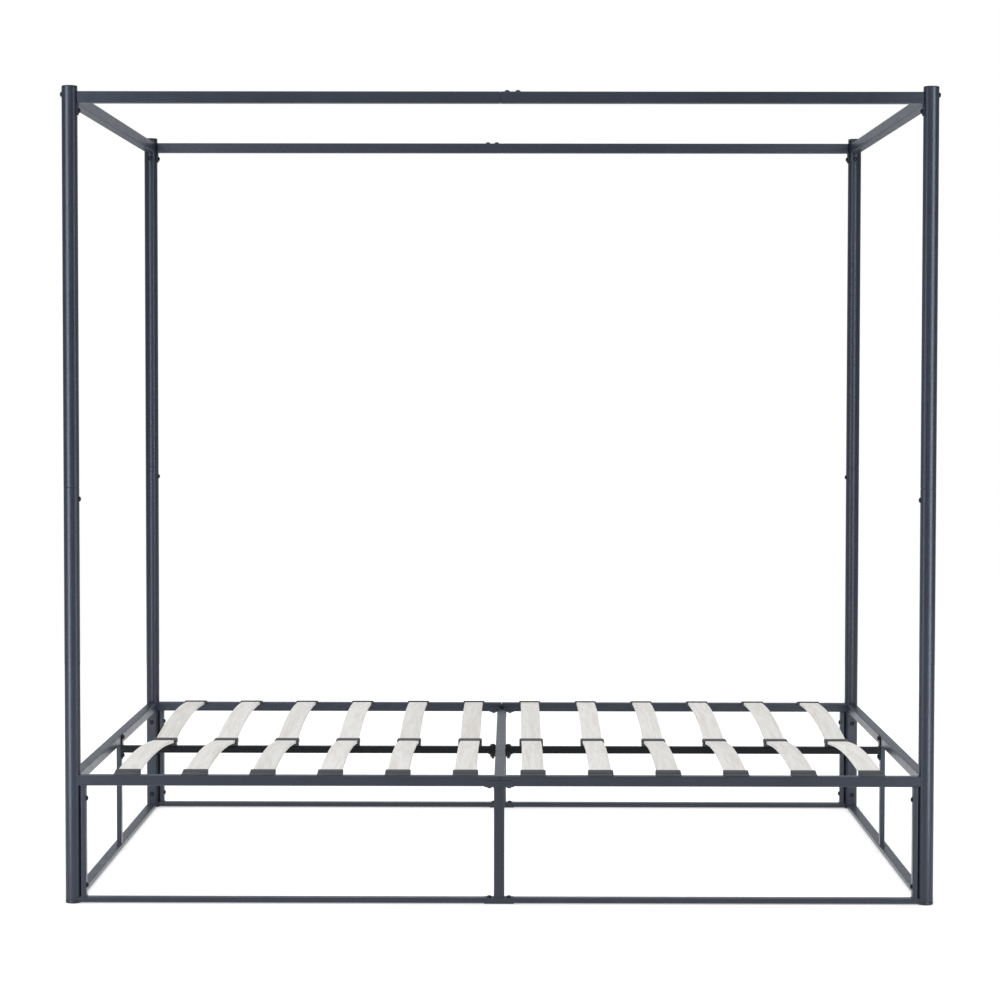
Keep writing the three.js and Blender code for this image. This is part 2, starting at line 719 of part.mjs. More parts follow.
// ---- slats ----
// The bowed board of a slat of the rear row about x = 0.
function slatBoard() {
  const steps = 6;
  const curve = (lift) =>
    Array.from({ length: steps + 1 }, (_, i) => {
      const t = i / steps;
      const y = THREE.MathUtils.lerp(SLAT_INNER_END, SLAT_OUTER_END, t);
      const chord = THREE.MathUtils.lerp(SLAT_INNER_LOW, SLAT_OUTER_LOW, t);
      return new THREE.Vector2(y, chord + 4 * SLAT_RISE * t * (1 - t) + lift);
    });
  const outline = new THREE.Shape([...curve(0), ...curve(SLAT_THICKNESS).reverse()]);
  return extrude(outline, "x", -SLAT_WIDTH / 2, SLAT_WIDTH / 2);
}

const peg = (y, top) =>
  roundBar("z", [0, y, 0], PEG_DIAMETER / 2, top - PEG_LENGTH, top + WELD_OVERLAP);

// A slat with its cap, which pegs into the side rail, and its half of the double holder,
// which pegs into the centre rail.
function slat() {
  const seat = SIDE_RAIL_TOP + FIT_GAP;
  const heel = postY - railHalf - 2 * FIT_GAP;
  const ledgeEnd = postY + railHalf - 1;
  const capOutline = [
    [CAP_MOUTH, CAP_LOW],
    [heel, CAP_LOW],
    [heel, seat],
    [ledgeEnd, seat],
    [ledgeEnd, seat + CAP_LEDGE],
    [heel + CAP_LEDGE, CAP_HEEL],
    [CAP_MOUTH, CAP_TOP],
  ].map(([y, z]) => new THREE.Vector2(y, z));
  const cap = extrude(new THREE.Shape(capOutline), "x", -CAP_WIDTH / 2, CAP_WIDTH / 2);

  const holderLow = CENTRE_RAIL_TOP + FIT_GAP;
  const holderHalf = HOLDER_WIDTH / 2;
  const seam = FIT_GAP / 2;
  const holder = bar(
    "x",
    [-holderHalf, seam, holderLow],
    [holderHalf, HOLDER_LENGTH, HOLDER_TOP],
    0,
  );
  const thisSide = bar(
    "x",
    [-PEG_DIAMETER, seam, centreRailLow],
    [PEG_DIAMETER, PEG_DIAMETER, CENTRE_RAIL_TOP + 1],
    0,
  );
  const halfPeg = peg(0, holderLow).intersect(thisSide);
  return union([slatBoard(), cap, peg(postY, seat), holder, halfPeg]);
}

const slatGeometry = geometryOf(slat());
const slatCentres = [...slatPositions.map((x) => -x).reverse(), ...slatPositions];
for (const [sideName, side] of Object.entries(SIDES)) {
  slatCentres.forEach((x, i) => {
    const number = String(i + 1).padStart(2, "0");
    place(`slat_${sideName}_${number}`, slatGeometry, birch, 1, side);
    bed.children.at(-1).position.x = x;
  });
}

export default bed;
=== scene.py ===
"""Four poster canopy bed: a powder coated steel tube frame with bowed birch slats.

Every piece is built in metres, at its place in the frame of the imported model.
"""

import math

import bmesh
import bpy
from mathutils import Matrix, Vector


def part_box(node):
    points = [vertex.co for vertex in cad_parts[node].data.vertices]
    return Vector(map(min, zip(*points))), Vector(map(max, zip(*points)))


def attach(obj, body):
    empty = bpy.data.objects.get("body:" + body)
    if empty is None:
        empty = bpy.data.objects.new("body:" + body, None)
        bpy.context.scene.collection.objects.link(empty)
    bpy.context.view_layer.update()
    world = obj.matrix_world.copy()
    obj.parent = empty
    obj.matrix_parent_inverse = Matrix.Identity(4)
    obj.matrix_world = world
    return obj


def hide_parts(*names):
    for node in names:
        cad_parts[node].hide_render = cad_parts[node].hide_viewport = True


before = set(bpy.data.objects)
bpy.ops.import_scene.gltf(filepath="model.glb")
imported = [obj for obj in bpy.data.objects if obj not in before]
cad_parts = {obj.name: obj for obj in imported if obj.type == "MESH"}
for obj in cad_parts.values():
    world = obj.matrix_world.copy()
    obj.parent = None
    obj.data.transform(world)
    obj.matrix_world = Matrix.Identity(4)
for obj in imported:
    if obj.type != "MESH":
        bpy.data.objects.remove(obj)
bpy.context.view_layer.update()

bl_info = {
    "name": "Four poster canopy bed", "version": (1, 0, 0), "blender": (4, 5, 0),
    "location": "3D View > Sidebar > Bed",
    "description": "Builds the tubes, joints, fasteners and slats of a canopy bed", "category": "Object"
}

MM = 0.001
BODY = "root"

ENDS = {"left": -1, "right": 1}
SIDES = {"front": -1, "rear": 1}
CORNERS = [(side, end) for side in SIDES for end in ENDS]


# ---- the frame's own sizes ----
def middle(node, axis):
    low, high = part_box(node)
    return (low[axis] + high[axis]) / 2


def low_of(node, axis):
    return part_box(node)[0][axis]


def high_of(node, axis):
    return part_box(node)[1][axis]


POST_X = middle("lower_post_rear_right", 0)
POST_Y = middle("lower_post_rear_right", 1)
POST_RADIUS = high_of("lower_post_rear_right", 1) - POST_Y
POST_LOW = low_of("lower_post_rear_right", 2)
SEAM_Z = high_of("lower_post_rear_right", 2)
POST_TOP = high_of("upper_post_rear_right", 2)
CAP_TOP = high_of("post_cap_rear_right", 2)
CANOPY_TOP = high_of("canopy_rail_rear_right", 2)
CANOPY_WIDTH = high_of("canopy_rail_rear_right", 1) - low_of("canopy_rail_rear_right", 1)
SADDLE_LOW = low_of("canopy_rail_rear_right", 2)
RAIL_TOP = high_of("side_frame_rear_right", 2)
RAIL_WIDTH = high_of("side_frame_rear_right", 1) - low_of("side_frame_rear_right", 1)
BOTTOM_LOW = low_of("side_frame_rear_right", 2)
LEG_REACH = high_of("centre_leg_rear", 0)
LEG_LOW = low_of("centre_leg_rear", 2)
LEG_TOP = high_of("centre_leg_rear", 2)
LEG_HALF_DEPTH = high_of("centre_leg_rear", 1) - POST_Y
PLATE_LOW = low_of("centre_rail_right", 2)
PLATE_HIGH = high_of("centre_rail_right", 2)
CROSS_PLATE_LOW = low_of("cross_rail", 2)
CROSS_PLATE_HIGH = high_of("cross_rail", 2)
CROSS_PLATE_FACE = high_of("cross_rail", 1)
CENTRE_PLATE_FACE = high_of("centre_rail_right", 0)
HANGER_REACH = high_of("centre_hanger", 0)
HANGER_TOP = high_of("centre_hanger", 2)
SLAT_LAST_X = middle("slat_rear_12", 0)
SLAT_COUNT = 12
SLAT_PITCH = (SLAT_LAST_X - middle("slat_rear_01", 0)) / (SLAT_COUNT - 1)


# ---- settings ----
def size_property(label, about, default, least=0.0):
    return bpy.props.FloatProperty(
        name=label, description=about, default=default, min=least, unit="LENGTH"
    )


def seed_property(label, about, default):
    return bpy.props.IntProperty(name=label, description=about, default=default)


def colour_property(label, about, hex_value):
    return bpy.props.StringProperty(name=label, description=about, default=hex_value)


class BedFrameSizes(bpy.types.PropertyGroup):
    """Sections of the tubes and plates."""

    tube_wall: size_property("Tube wall", "Wall thickness of every tube", 1.5 * MM, 0.5 * MM)
    tube_corner: size_property(
        "Tube corner", "Outer corner radius of the square tubes", 2.5 * MM, 0.2 * MM
    )
    flat_bar: size_property("Flat tube", "Thin way of the uprights and bottom rails", 12.7 * MM, 5 * MM)
    upright_offset: size_property(
        "Upright offset", "From the middle of a post to the near face of an upright", 20 * MM, 19.2 * MM
    )
    saddle_wall: size_property("Saddle plate", "Thickness of the canopy rails' curved plates", 3 * MM, MM)
    cross_rail_top: size_property(
        "Cross rail height", "Top of the rail between the centre legs", 297 * MM
    )
    centre_rail: size_property(
        "Centre rail", "Width of the rails under the slats' inner ends", 19 * MM, 10 * MM
    )
    centre_rail_top: size_property("Centre rail height", "Top of the centre rails", 284 * MM)
    weld: size_property("Weld bead", "Radius of the weld beads", 1.6 * MM, 0.5 * MM)


class BedSlatSizes(bpy.types.PropertyGroup):
    """The bowed slats."""

    width: size_property("Slat width", "Width of one slat", 53 * MM, 20 * MM)
    thickness: size_property("Slat thickness", "Thickness of one slat", 8 * MM, 3 * MM)
    rise: size_property("Rise", "How far the middle of a slat bows up", 16.5 * MM)
    inner_low: size_property("Inner height", "Underside of a slat at the centre rail", 291.3 * MM)
    outer_low: size_property("Outer height", "Underside of a slat at the side rail", 309 * MM)
    ply: size_property("Ply", "Thickness of one veneer of the plywood", 1.15 * MM, 0.5 * MM)
    seed: seed_property("Figure seed", "Picks the wood figure of each slat", 7)


class BedFastenerSizes(bpy.types.PropertyGroup):
    """The dome headed bolts."""

    head_radius: size_property("Head radius", "Radius of a bolt's dome head", 6.5 * MM, 3 * MM)
    head_height: size_property("Head height", "Height of a bolt's dome head", 4.2 * MM, MM)
    socket: size_property("Socket", "Width across the flats of the hexagon socket", 5 * MM, 2 * MM)
    seed: seed_property("Turn seed", "Picks how far each bolt is turned", 3)


class BedColours(bpy.types.PropertyGroup):
    """Finishes, as sRGB hex values."""

    coat: colour_property("Powder coat", "Colour of the steel's powder coat", "#282f3b")
    bearer_coat: colour_property("Centre rail coat", "Colour of the centre rails' coat", "#101215")
    cap: colour_property("Plugs", "Colour of the tube plugs", "#17181a")
    holder: colour_property("Slat holders", "Colour of the slat caps and holders", "#38383a")
    bolt: colour_property("Bolts", "Colour of the blackened bolts", "#16171a")
    wood_light: colour_property("Wood, light", "Pale tone of the birch veneer", "#faf7f1")
    wood_dark: colour_property("Wood, dark", "Dark tone of the birch veneer", "#e9e1d3")
    floor: colour_property("Floor", "Colour of the floor", "#f4f4f4")


# ---- colours and nodes ----
def linear(hex_value):
    """A linear RGBA colour from an sRGB hex value."""
    channels = [int(hex_value[i : i + 2], 16) / 255 for i in (1, 3, 5)]
    return [c / 12.92 if c <= 0.04045 else ((c + 0.055) / 1.055) ** 2.4 for c in channels] + [1.0]


def feed(tree, node, inputs):
    """Fills a node's inputs: each takes a value, or the node or output that is linked to it."""
    for key, source in inputs.items():
        if isinstance(source, bpy.types.Node):
            source = source.outputs[0]
        if isinstance(source, bpy.types.NodeSocket):
            tree.links.new(source, node.inputs[key])
        else:
            node.inputs[key].default_value = source


def add_node(tree, kind, inputs=None, **settings):
    """Adds one node with its settings and its inputs."""
    node = tree.nodes.new(kind)
    for name, value in settings.items():
        setattr(node, name, value)
    feed(tree, node, inputs or {})
    return node


def set_ramp(node, stops):
    """Sets the stops of a colour ramp from (position, hex colour) pairs."""
    elements = node.color_ramp.elements
    while len(elements) > len(stops):
        elements.remove(elements[-1])
    while len(elements) < len(stops):
        elements.new(1.0)
    for element, (position, hex_value) in zip(elements, stops):
        element.position = position
        element.color = linear(hex_value)


def start_material(name, inputs):
    """A new material, with its tree, its Principled shader and the place that is being shaded."""
    material = bpy.data.materials.new(name)
    material.use_nodes = True
    tree = material.node_tree
    tree.nodes.clear()
    shader = add_node(tree, "ShaderNodeBsdfPrincipled", inputs)
    add_node(tree, "ShaderNodeOutputMaterial", {"Surface": shader})
    return material, tree, shader, add_node(tree, "ShaderNodeTexCoord").outputs["Object"]


def mottle(tree, place, grain, detail, low, high, calm=0.0):
    """Cloudy noise of one grain, and the same noise spread from low to high. calm is the part
    of the noise's range that is left out at each end."""
    noise = add_node(tree, "ShaderNodeTexNoise", {"Scale": 1 / grain, "Detail": detail, "Vector": place})
    limits = {"From Min": calm, "From Max": 1 - calm, "To Min": low, "To Max": high}
    return noise, add_node(tree, "ShaderNodeMapRange", {"Value": noise, **limits})


def finish_named(name, make):
    """The material of that name, made the first time it is asked for."""
    return bpy.data.materials.get(name) or make(name)


def satin_powder_coat(name, hex_value, gleam):
    # Polyester powder, sprayed and baked: a satin film that is never quite flat. It flows into
    # a soft orange peel of about 3 mm, drawn here at 5 mm so that it shows, and it holds a
    # little more or less pigment from one hand's width to the next.
    material, tree, shader, place = start_material(name, {"IOR": 1.55, "Specular IOR Level": gleam})
    pigment = mottle(tree, place, 90 * MM, 3.0, 0.9, 1.12, 0.3)[1]
    gloss = mottle(tree, place, 22 * MM, 4.0, 0.3, 0.38, 0.3)[1]
    tint = add_node(tree, "ShaderNodeHueSaturation", {"Color": linear(hex_value), "Value": pigment})
    peel = add_node(tree, "ShaderNodeTexNoise", {"Scale": 1 / (5 * MM), "Detail": 1.0, "Vector": place})
    bump = add_node(tree, "ShaderNodeBump", {"Strength": 0.25, "Distance": 0.04 * MM, "Height": peel})
    feed(tree, shader, {"Base Color": tint, "Roughness": gloss, "Normal": bump})
    return material


def charcoal_powder_coat(name):
    return satin_powder_coat(name, bpy.context.scene.bed_colours.coat, 0.36)


def black_powder_coat(name):
    return satin_powder_coat(name, bpy.context.scene.bed_colours.bearer_coat, 0.15)


def moulded_plastic(name, hex_value, roughness, grain):
    # Injection moulded polypropylene: the mould's spark eroded grain breaks up the gloss, and
    # the pigment is even apart from faint flow marks.
    material, tree, shader, place = start_material(name, {"IOR": 1.49})
    flow = mottle(tree, place, 14 * MM, 2.0, 0.92, 1.1, 0.3)[1]
    tint = add_node(tree, "ShaderNodeHueSaturation", {"Color": linear(hex_value), "Value": flow})
    spark, gloss = mottle(tree, place, grain, 3.0, roughness - 0.06, roughness + 0.08)
    bump = add_node(tree, "ShaderNodeBump", {"Strength": 0.4, "Distance": 0.05 * MM, "Height": spark})
    feed(tree, shader, {"Base Color": tint, "Roughness": gloss, "Normal": bump})
    return material


def plug_plastic(name):
    return moulded_plastic(name, bpy.context.scene.bed_colours.cap, 0.42, 0.8 * MM)


def holder_plastic(name):
    return moulded_plastic(name, bpy.context.scene.bed_colours.holder, 0.5, 1.2 * MM)


def blackened_steel(name):
    # Machine screws, heat blackened and oiled: a thin dark oxide over bright steel, a little
    # patchy, so the light slides over the domes in uneven streaks.
    material, tree, shader, place = start_material(name, {"Metallic": 0.85})
    patch, gloss = mottle(tree, place, 3 * MM, 4.0, 0.24, 0.4)
    oxide = add_node(tree, "ShaderNodeValToRGB", {"Fac": patch})
    set_ramp(oxide, [(0.3, bpy.context.scene.bed_colours.bolt), (0.75, "#3a3b3f")])
    feed(tree, shader, {"Base Color": oxide, "Roughness": gloss})
    return material


def birch_plywood(name):
    # Rotary cut birch plywood, steamed, pressed to a bow and sanded: pale, with a soft figure
    # that runs with the slat, short pores, and thin plies of turning tone along its edges.
    colours = bpy.context.scene.bed_colours
    ply = bpy.context.scene.bed_slat_sizes.ply
    material, tree, shader, place = start_material(name, {"IOR": 1.5})
    draw = add_node(tree, "ShaderNodeAttribute", attribute_name="figure").outputs["Fac"]
    shift = add_node(tree, "ShaderNodeCombineXYZ", {"Y": draw, "Z": draw})
    moved = add_node(tree, "ShaderNodeVectorMath", {0: shift, 1: place}, operation="ADD")
    grain = (1 / (16 * MM), 1 / (260 * MM), 1 / (60 * MM))
    stretched = add_node(tree, "ShaderNodeMapping", {"Scale": grain, "Vector": moved})
    cloud = {"Scale": 1.0, "Detail": 5.0, "Roughness": 0.55, "Distortion": 1.4, "Vector": stretched}
    figure = add_node(tree, "ShaderNodeTexNoise", cloud)
    tone = add_node(tree, "ShaderNodeValToRGB", {"Fac": figure})
    stops = [(0.25, colours.wood_dark), (0.45, "#f2ede4"), (0.62, colours.wood_light), (0.85, "#f1efe9")]
    set_ramp(tone, stops)
    grain = (1 / (1.1 * MM), 1 / (14 * MM), 1 / (4 * MM))
    fine = add_node(tree, "ShaderNodeMapping", {"Scale": grain, "Vector": moved})
    specks = {"Scale": 1.0, "Detail": 3.0, "Roughness": 0.6, "Vector": fine}
    pores = add_node(tree, "ShaderNodeTexNoise", specks)
    limits = {"From Min": 0.62, "From Max": 0.75, "To Min": 1.0, "To Max": 0.86}
    speckle = add_node(tree, "ShaderNodeMapRange", {"Value": pores, **limits})
    depth = add_node(tree, "ShaderNodeAttribute", attribute_name="ply").outputs["Fac"]
    turn = add_node(tree, "ShaderNodeMath", {0: depth, 1: ply}, operation="PINGPONG")
    limits = {"From Min": ply * 0.4, "From Max": ply * 0.6, "To Min": 0.82, "To Max": 1.06}
    layer = add_node(tree, "ShaderNodeMapRange", {"Value": turn, **limits})
    facing = add_node(tree, "ShaderNodeNewGeometry").outputs["Normal"]
    upward = add_node(tree, "ShaderNodeSeparateXYZ", {"Vector": facing}).outputs["Z"]
    upright = add_node(tree, "ShaderNodeMath", {0: upward}, operation="ABSOLUTE")
    limits = {"From Min": 0.5, "From Max": 0.7, "To Min": 1.0, "To Max": 0.0}
    edge = add_node(tree, "ShaderNodeMapRange", {"Value": upright, **limits})
    plies = add_node(tree, "ShaderNodeMix", {0: edge, 2: 1.0, 3: layer})
    dark = add_node(tree, "ShaderNodeMath", {0: plies, 1: speckle}, operation="MULTIPLY")
    veneer = add_node(tree, "ShaderNodeMath", {0: draw}, operation="FRACT")
    sheet = add_node(tree, "ShaderNodeMapRange", {"Value": veneer, "To Min": 0.95, "To Max": 1.03})
    shade = add_node(tree, "ShaderNodeMath", {0: dark, 1: sheet}, operation="MULTIPLY")
    wood = add_node(tree, "ShaderNodeHueSaturation", {"Color": tone, "Value": shade})
    gloss = add_node(tree, "ShaderNodeMapRange", {"Value": figure, "To Min": 0.5, "To Max": 0.66})
    bump = add_node(tree, "ShaderNodeBump", {"Strength": 0.35, "Distance": 0.05 * MM, "Height": pores})
    feed(tree, shader, {"Base Color": wood, "Roughness": gloss, "Normal": bump})
    return material


def powder_coat():
    return finish_named("satin_charcoal_powder_coat", charcoal_powder_coat)


# ---- mesh building ----
def point_on(axis, u, v, w):
    """The point at (u, v) in the section square to an axis, and w along it."""
    point = [0.0, 0.0, 0.0]
    point[axis] = w
    point[(axis + 1) % 3] = u
    point[(axis + 2) % 3] = v
    return point


def rounded_rectangle(half_u, half_v, radius, flat_steps=1, corner_steps=4):
    """(u, v) points anticlockwise round a rectangle with rounded corners."""
    points = []
    for turn, (sign_u, sign_v) in enumerate([(1, 1), (-1, 1), (-1, -1), (1, -1)]):
        for i in range(corner_steps + 1):
            angle = math.pi / 2 * (turn + i / corner_steps)
            points.append(
                Vector(
                    (
                        sign_u * (half_u - radius) + radius * math.cos(angle),
                        sign_v * (half_v - radius) + radius * math.sin(angle)
                    )
                )
            )
    divided = []
    for i, point in enumerate(points):
        divided.append(point)
        if i % (corner_steps + 1) == corner_steps:
            following = points[(i + 1) % len(points)]
            divided += [point.lerp(following, k / flat_steps) for k in range(1, flat_steps)]
    return divided


def bridge(bm, first, second):
    for i in range(len(first)):
        j = (i + 1) % len(first)
        bm.faces.new((first[i], first[j], second[j], second[i]))


def add_skin(bm, rings):
    """A closed skin over a row of rings, with a face on each end."""
    bm.faces.new(rings[0][::-1])
    bm.faces.new(rings[-1])
    for first, second in zip(rings, rings[1:]):
        bridge(bm, first, second)


def round_ring(bm, steps, reach, z, x=0.0, y=0.0):
    """Vertices round a vertical axis. reach gives their radius at an angle."""
    angles = [2 * math.pi * i / steps for i in range(steps)]
    return [bm.verts.new((x + reach(a) * math.cos(a), y + reach(a) * math.sin(a), z)) for a in angles]


def add_bar(bm, axis, low, high, radius, cut_low=None, cut_high=None, pockets=None):
    """A bar with rounded corners along an axis.

    cut_low and cut_high give the end's place from (u, v) where it isn't square. pockets maps
    "low" or "high" to (half_u, half_v, depth) of a recess in that end.
    """
    u_axis, v_axis = (axis + 1) % 3, (axis + 2) % 3
    mid_u = (low[u_axis] + high[u_axis]) / 2
    mid_v = (low[v_axis] + high[v_axis]) / 2
    half_u = (high[u_axis] - low[u_axis]) / 2
    half_v = (high[v_axis] - low[v_axis]) / 2
    flat_steps = 8 if cut_low or cut_high else 1
    pockets = pockets or {}

    def ring(size_u, size_v, corner, place):
        section = rounded_rectangle(size_u, size_v, corner, flat_steps)
        return [
            bm.verts.new(point_on(axis, mid_u + u, mid_v + v, place(mid_u + u, mid_v + v)))
            for u, v in section
        ]

    rings = []
    for end, cut, sign in (("low", cut_low, 1), ("high", cut_high, -1)):
        at = low[axis] if sign > 0 else high[axis]
        made = []
        if cut:
            made.append(ring(half_u, half_v, radius, cut))
        else:
            if end in pockets:
                pocket_u, pocket_v, depth = pockets[end]
                inner = max(0.3 * MM, radius - (half_u - pocket_u))
                for reach in (depth, 0.0):
                    made.append(ring(pocket_u, pocket_v, inner, lambda u, v, r=reach: at + sign * r))
            made.append(ring(half_u - EASE, half_v - EASE, radius - EASE * 0.6, lambda u, v: at))
            made.append(ring(half_u, half_v, radius, lambda u, v: at + sign * EASE))
        rings += made if sign > 0 else made[::-1]
    add_skin(bm, rings)


def add_turned(bm, profile, x=0.0, y=0.0, steps=64, closed=False):
    """A shape turned about a vertical axis, from (radius, height) points. A point of radius 0
    is a pole, and closed joins the last point to the first."""
    rings = []
    for radius, z in profile:
        if radius == 0:
            rings.append([bm.verts.new((x, y, z))])
        else:
            rings.append(round_ring(bm, steps, lambda angle: radius, z, x, y))
    following = rings[1:] + (rings[:1] if closed else [])
    for first, second in zip(rings, following):
        if len(first) == 1 or len(second) == 1:
            pole, rim = (first[0], second) if len(first) == 1 else (second[0], first)
            for i in range(steps):
                bm.faces.new((pole, rim[i], rim[(i + 1) % steps]))
        else:
            bridge(bm, first, second)


def add_prism(bm, axis, outline, start, end, bevel=0.0):
    """A plate: an outline of (u, v) points pushed along an axis, with its rims eased."""
    rings = [[bm.verts.new(point_on(axis, u, v, w)) for u, v in outline] for w in (start, end)]
    faces = [bm.faces.new(rings[0][::-1]), bm.faces.new(rings[1])]
    bridge(bm, rings[0], rings[1])
    if bevel:
        rims = {edge for face in faces for edge in face.edges}
        bmesh.ops.bevel(bm, geom=list(rims), offset=bevel, segments=2, profile=0.5, affect="EDGES")


def mirror(bm, end, side):
    """Moves a shape from the rear right quarter to the one that end and side name."""
    bmesh.ops.transform(bm, matrix=Matrix.Diagonal((end, side, 1, 1)), verts=bm.verts)


def plain_mesh(name, bm):
    bmesh.ops.remove_doubles(bm, verts=bm.verts, dist=0.002 * MM)
    bmesh.ops.recalc_face_normals(bm, faces=bm.faces)
    mesh = bpy.data.meshes.new(name)
    bm.to_mesh(mesh)
    bm.free()
    mesh.shade_smooth()
    mesh.set_sharp_from_angle(angle=math.radians(50))
    return mesh


def link_object(name, mesh):
    made = bpy.data.objects.new(name, mesh)
    bpy.context.scene.collection.objects.link(made)
    return made


def settle(made):
    """Turns what an object's modifiers make into its own plain mesh."""
    bpy.context.view_layer.update()
    graph = bpy.context.evaluated_depsgraph_get()
    mesh = bpy.data.meshes.new_from_object(made.evaluated_get(graph), depsgraph=graph)
    old = made.data
    made.modifiers.clear()
    made.data = mesh
    mesh.name = made.name
    bpy.data.meshes.remove(old)


def hand_over(made, nodes=()):
    """Fixes a finished piece to the frame, in place of the nodes that it stands for."""
    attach(made, BODY)
    if nodes:
        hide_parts(*nodes)


def add_piece(name, bm, material, nodes=()):
    """A finished piece from a bmesh: smooth where it is round and crisp where it is flat."""
    made = link_object(name, plain_mesh(name, bm))
    made.data.materials.append(material)
    weighting = made.modifiers.new("weighting", "WEIGHTED_NORMAL")
    weighting.keep_sharp = True
    weighting.weight = 80
    settle(made)
    hand_over(made, nodes)
    return made


# ---- geometry node trees ----
def start_tree(name, sockets):
    """A geometry tree with its inputs, and its input and output nodes."""
    tree = bpy.data.node_groups.new(name, "GeometryNodeTree")
    tree.interface.new_socket("Geometry", in_out="OUTPUT", socket_type="NodeSocketGeometry")
    for label, kind in sockets.items():
        tree.interface.new_socket(label, in_out="INPUT", socket_type=f"NodeSocket{kind}")
    return tree, add_node(tree, "NodeGroupInput").outputs


def end_tree(tree, geometry, material):
    real = add_node(tree, "GeometryNodeRealizeInstances", {"Geometry": geometry})
    dressed = add_node(tree, "GeometryNodeSetMaterial", {"Geometry": real, "Material": material})
    add_node(tree, "NodeGroupOutput", {"Geometry": dressed})


def scatter_tree():
    """Sets a copy of one piece on each point, turned as the point says."""
    tree, given = start_tree(
        "set_copies",
        {
            "Points": "Geometry", "Piece": "Object", "Own turn": "Float", "Seed": "Int",
            "Finish": "Material"
        }
    )
    piece = add_node(tree, "GeometryNodeObjectInfo", {"Object": given["Piece"]})
    turn = add_node(tree, "GeometryNodeInputNamedAttribute", {"Name": "turn"}, data_type="FLOAT_VECTOR")
    facing = add_node(tree, "FunctionNodeEulerToRotation", {"Euler": turn.outputs["Attribute"]})
    chance = add_node(
        tree, "FunctionNodeRandomValue", {"Max": given["Own turn"], "Seed": given["Seed"]},
        data_type="FLOAT"
    )
    own = add_node(tree, "FunctionNodeAxisAngleToRotation", {"Angle": chance.outputs[1]})
    both = add_node(tree, "FunctionNodeRotateRotation", {0: facing, 1: own}, rotation_space="LOCAL")
    copies = add_node(
        tree, "GeometryNodeInstanceOnPoints",
        {"Points": given["Points"], "Instance": piece.outputs["Geometry"], "Rotation": both}
    )
    end_tree(tree, copies, given["Finish"])
    return tree


def slat_tree():
    """Two rows of bowed slats: a bent line swept with a rounded section."""
    tree, given = start_tree(
        "bowed_slats",
        {
            "Inner end": "Vector", "Outer end": "Vector", "Rise": "Float", "Width": "Float",
            "Thickness": "Float", "Edge radius": "Float", "Count": "Int", "First": "Vector",
            "Pitch": "Vector", "Seed": "Int", "Finish": "Material"
        }
    )
    chord = add_node(
        tree, "GeometryNodeCurvePrimitiveLine", {"Start": given["Inner end"], "End": given["Outer end"]}
    )
    line = add_node(tree, "GeometryNodeResampleCurve", {"Count": 49, "Curve": chord})
    along = add_node(tree, "GeometryNodeSplineParameter").outputs["Factor"]
    rest = add_node(tree, "ShaderNodeMath", {0: 1.0, 1: along}, operation="SUBTRACT")
    bow = add_node(tree, "ShaderNodeMath", {0: along, 1: rest}, operation="MULTIPLY")
    high = add_node(tree, "ShaderNodeMath", {0: bow, 1: given["Rise"]}, operation="MULTIPLY")
    full = add_node(tree, "ShaderNodeMath", {0: high, 1: 4.0}, operation="MULTIPLY")
    lift = add_node(tree, "ShaderNodeCombineXYZ", {"Z": full})
    bent = add_node(tree, "GeometryNodeSetPosition", {"Geometry": line, "Offset": lift})
    steady = add_node(tree, "GeometryNodeSetCurveNormal", {"Curve": bent}, mode="Z_UP")
    oblong = add_node(
        tree, "GeometryNodeCurvePrimitiveQuadrilateral",
        {"Width": given["Width"], "Height": given["Thickness"]}
    )
    eased = add_node(
        tree, "GeometryNodeFilletCurve", {"Count": 3, "Curve": oblong, "Radius": given["Edge radius"]},
        mode="POLY"
    )
    parts = add_node(
        tree, "ShaderNodeSeparateXYZ", {"Vector": add_node(tree, "GeometryNodeInputPosition")}
    )
    section = add_node(
        tree, "GeometryNodeStoreNamedAttribute",
        {"Name": "ply", "Geometry": eased, "Value": parts.outputs["Y"]}, data_type="FLOAT", domain="POINT"
    )
    board = add_node(
        tree, "GeometryNodeCurveToMesh", {"Fill Caps": True, "Curve": steady, "Profile Curve": section}
    )
    row = add_node(
        tree, "GeometryNodeMeshLine",
        {"Count": given["Count"], "Start Location": given["First"], "Offset": given["Pitch"]}
    )
    boards = add_node(tree, "GeometryNodeInstanceOnPoints", {"Points": row, "Instance": board})
    turned = add_node(
        tree, "GeometryNodeTransform", {"Rotation": (0.0, 0.0, math.pi), "Geometry": boards}
    )
    both = add_node(tree, "GeometryNodeJoinGeometry")
    for rows in (boards, turned):
        feed(tree, both, {"Geometry": rows})
    chance = add_node(
        tree, "FunctionNodeRandomValue", {"Max": 50.0, "Seed": given["Seed"]}, data_type="FLOAT"
    )
    drawn = add_node(
        tree, "GeometryNodeStoreNamedAttribute",
        {"Name": "figure", "Geometry": both, "Value": chance.outputs[1]}, data_type="FLOAT",
        domain="INSTANCE"
    )
    end_tree(tree, drawn, given["Finish"])
    return tree


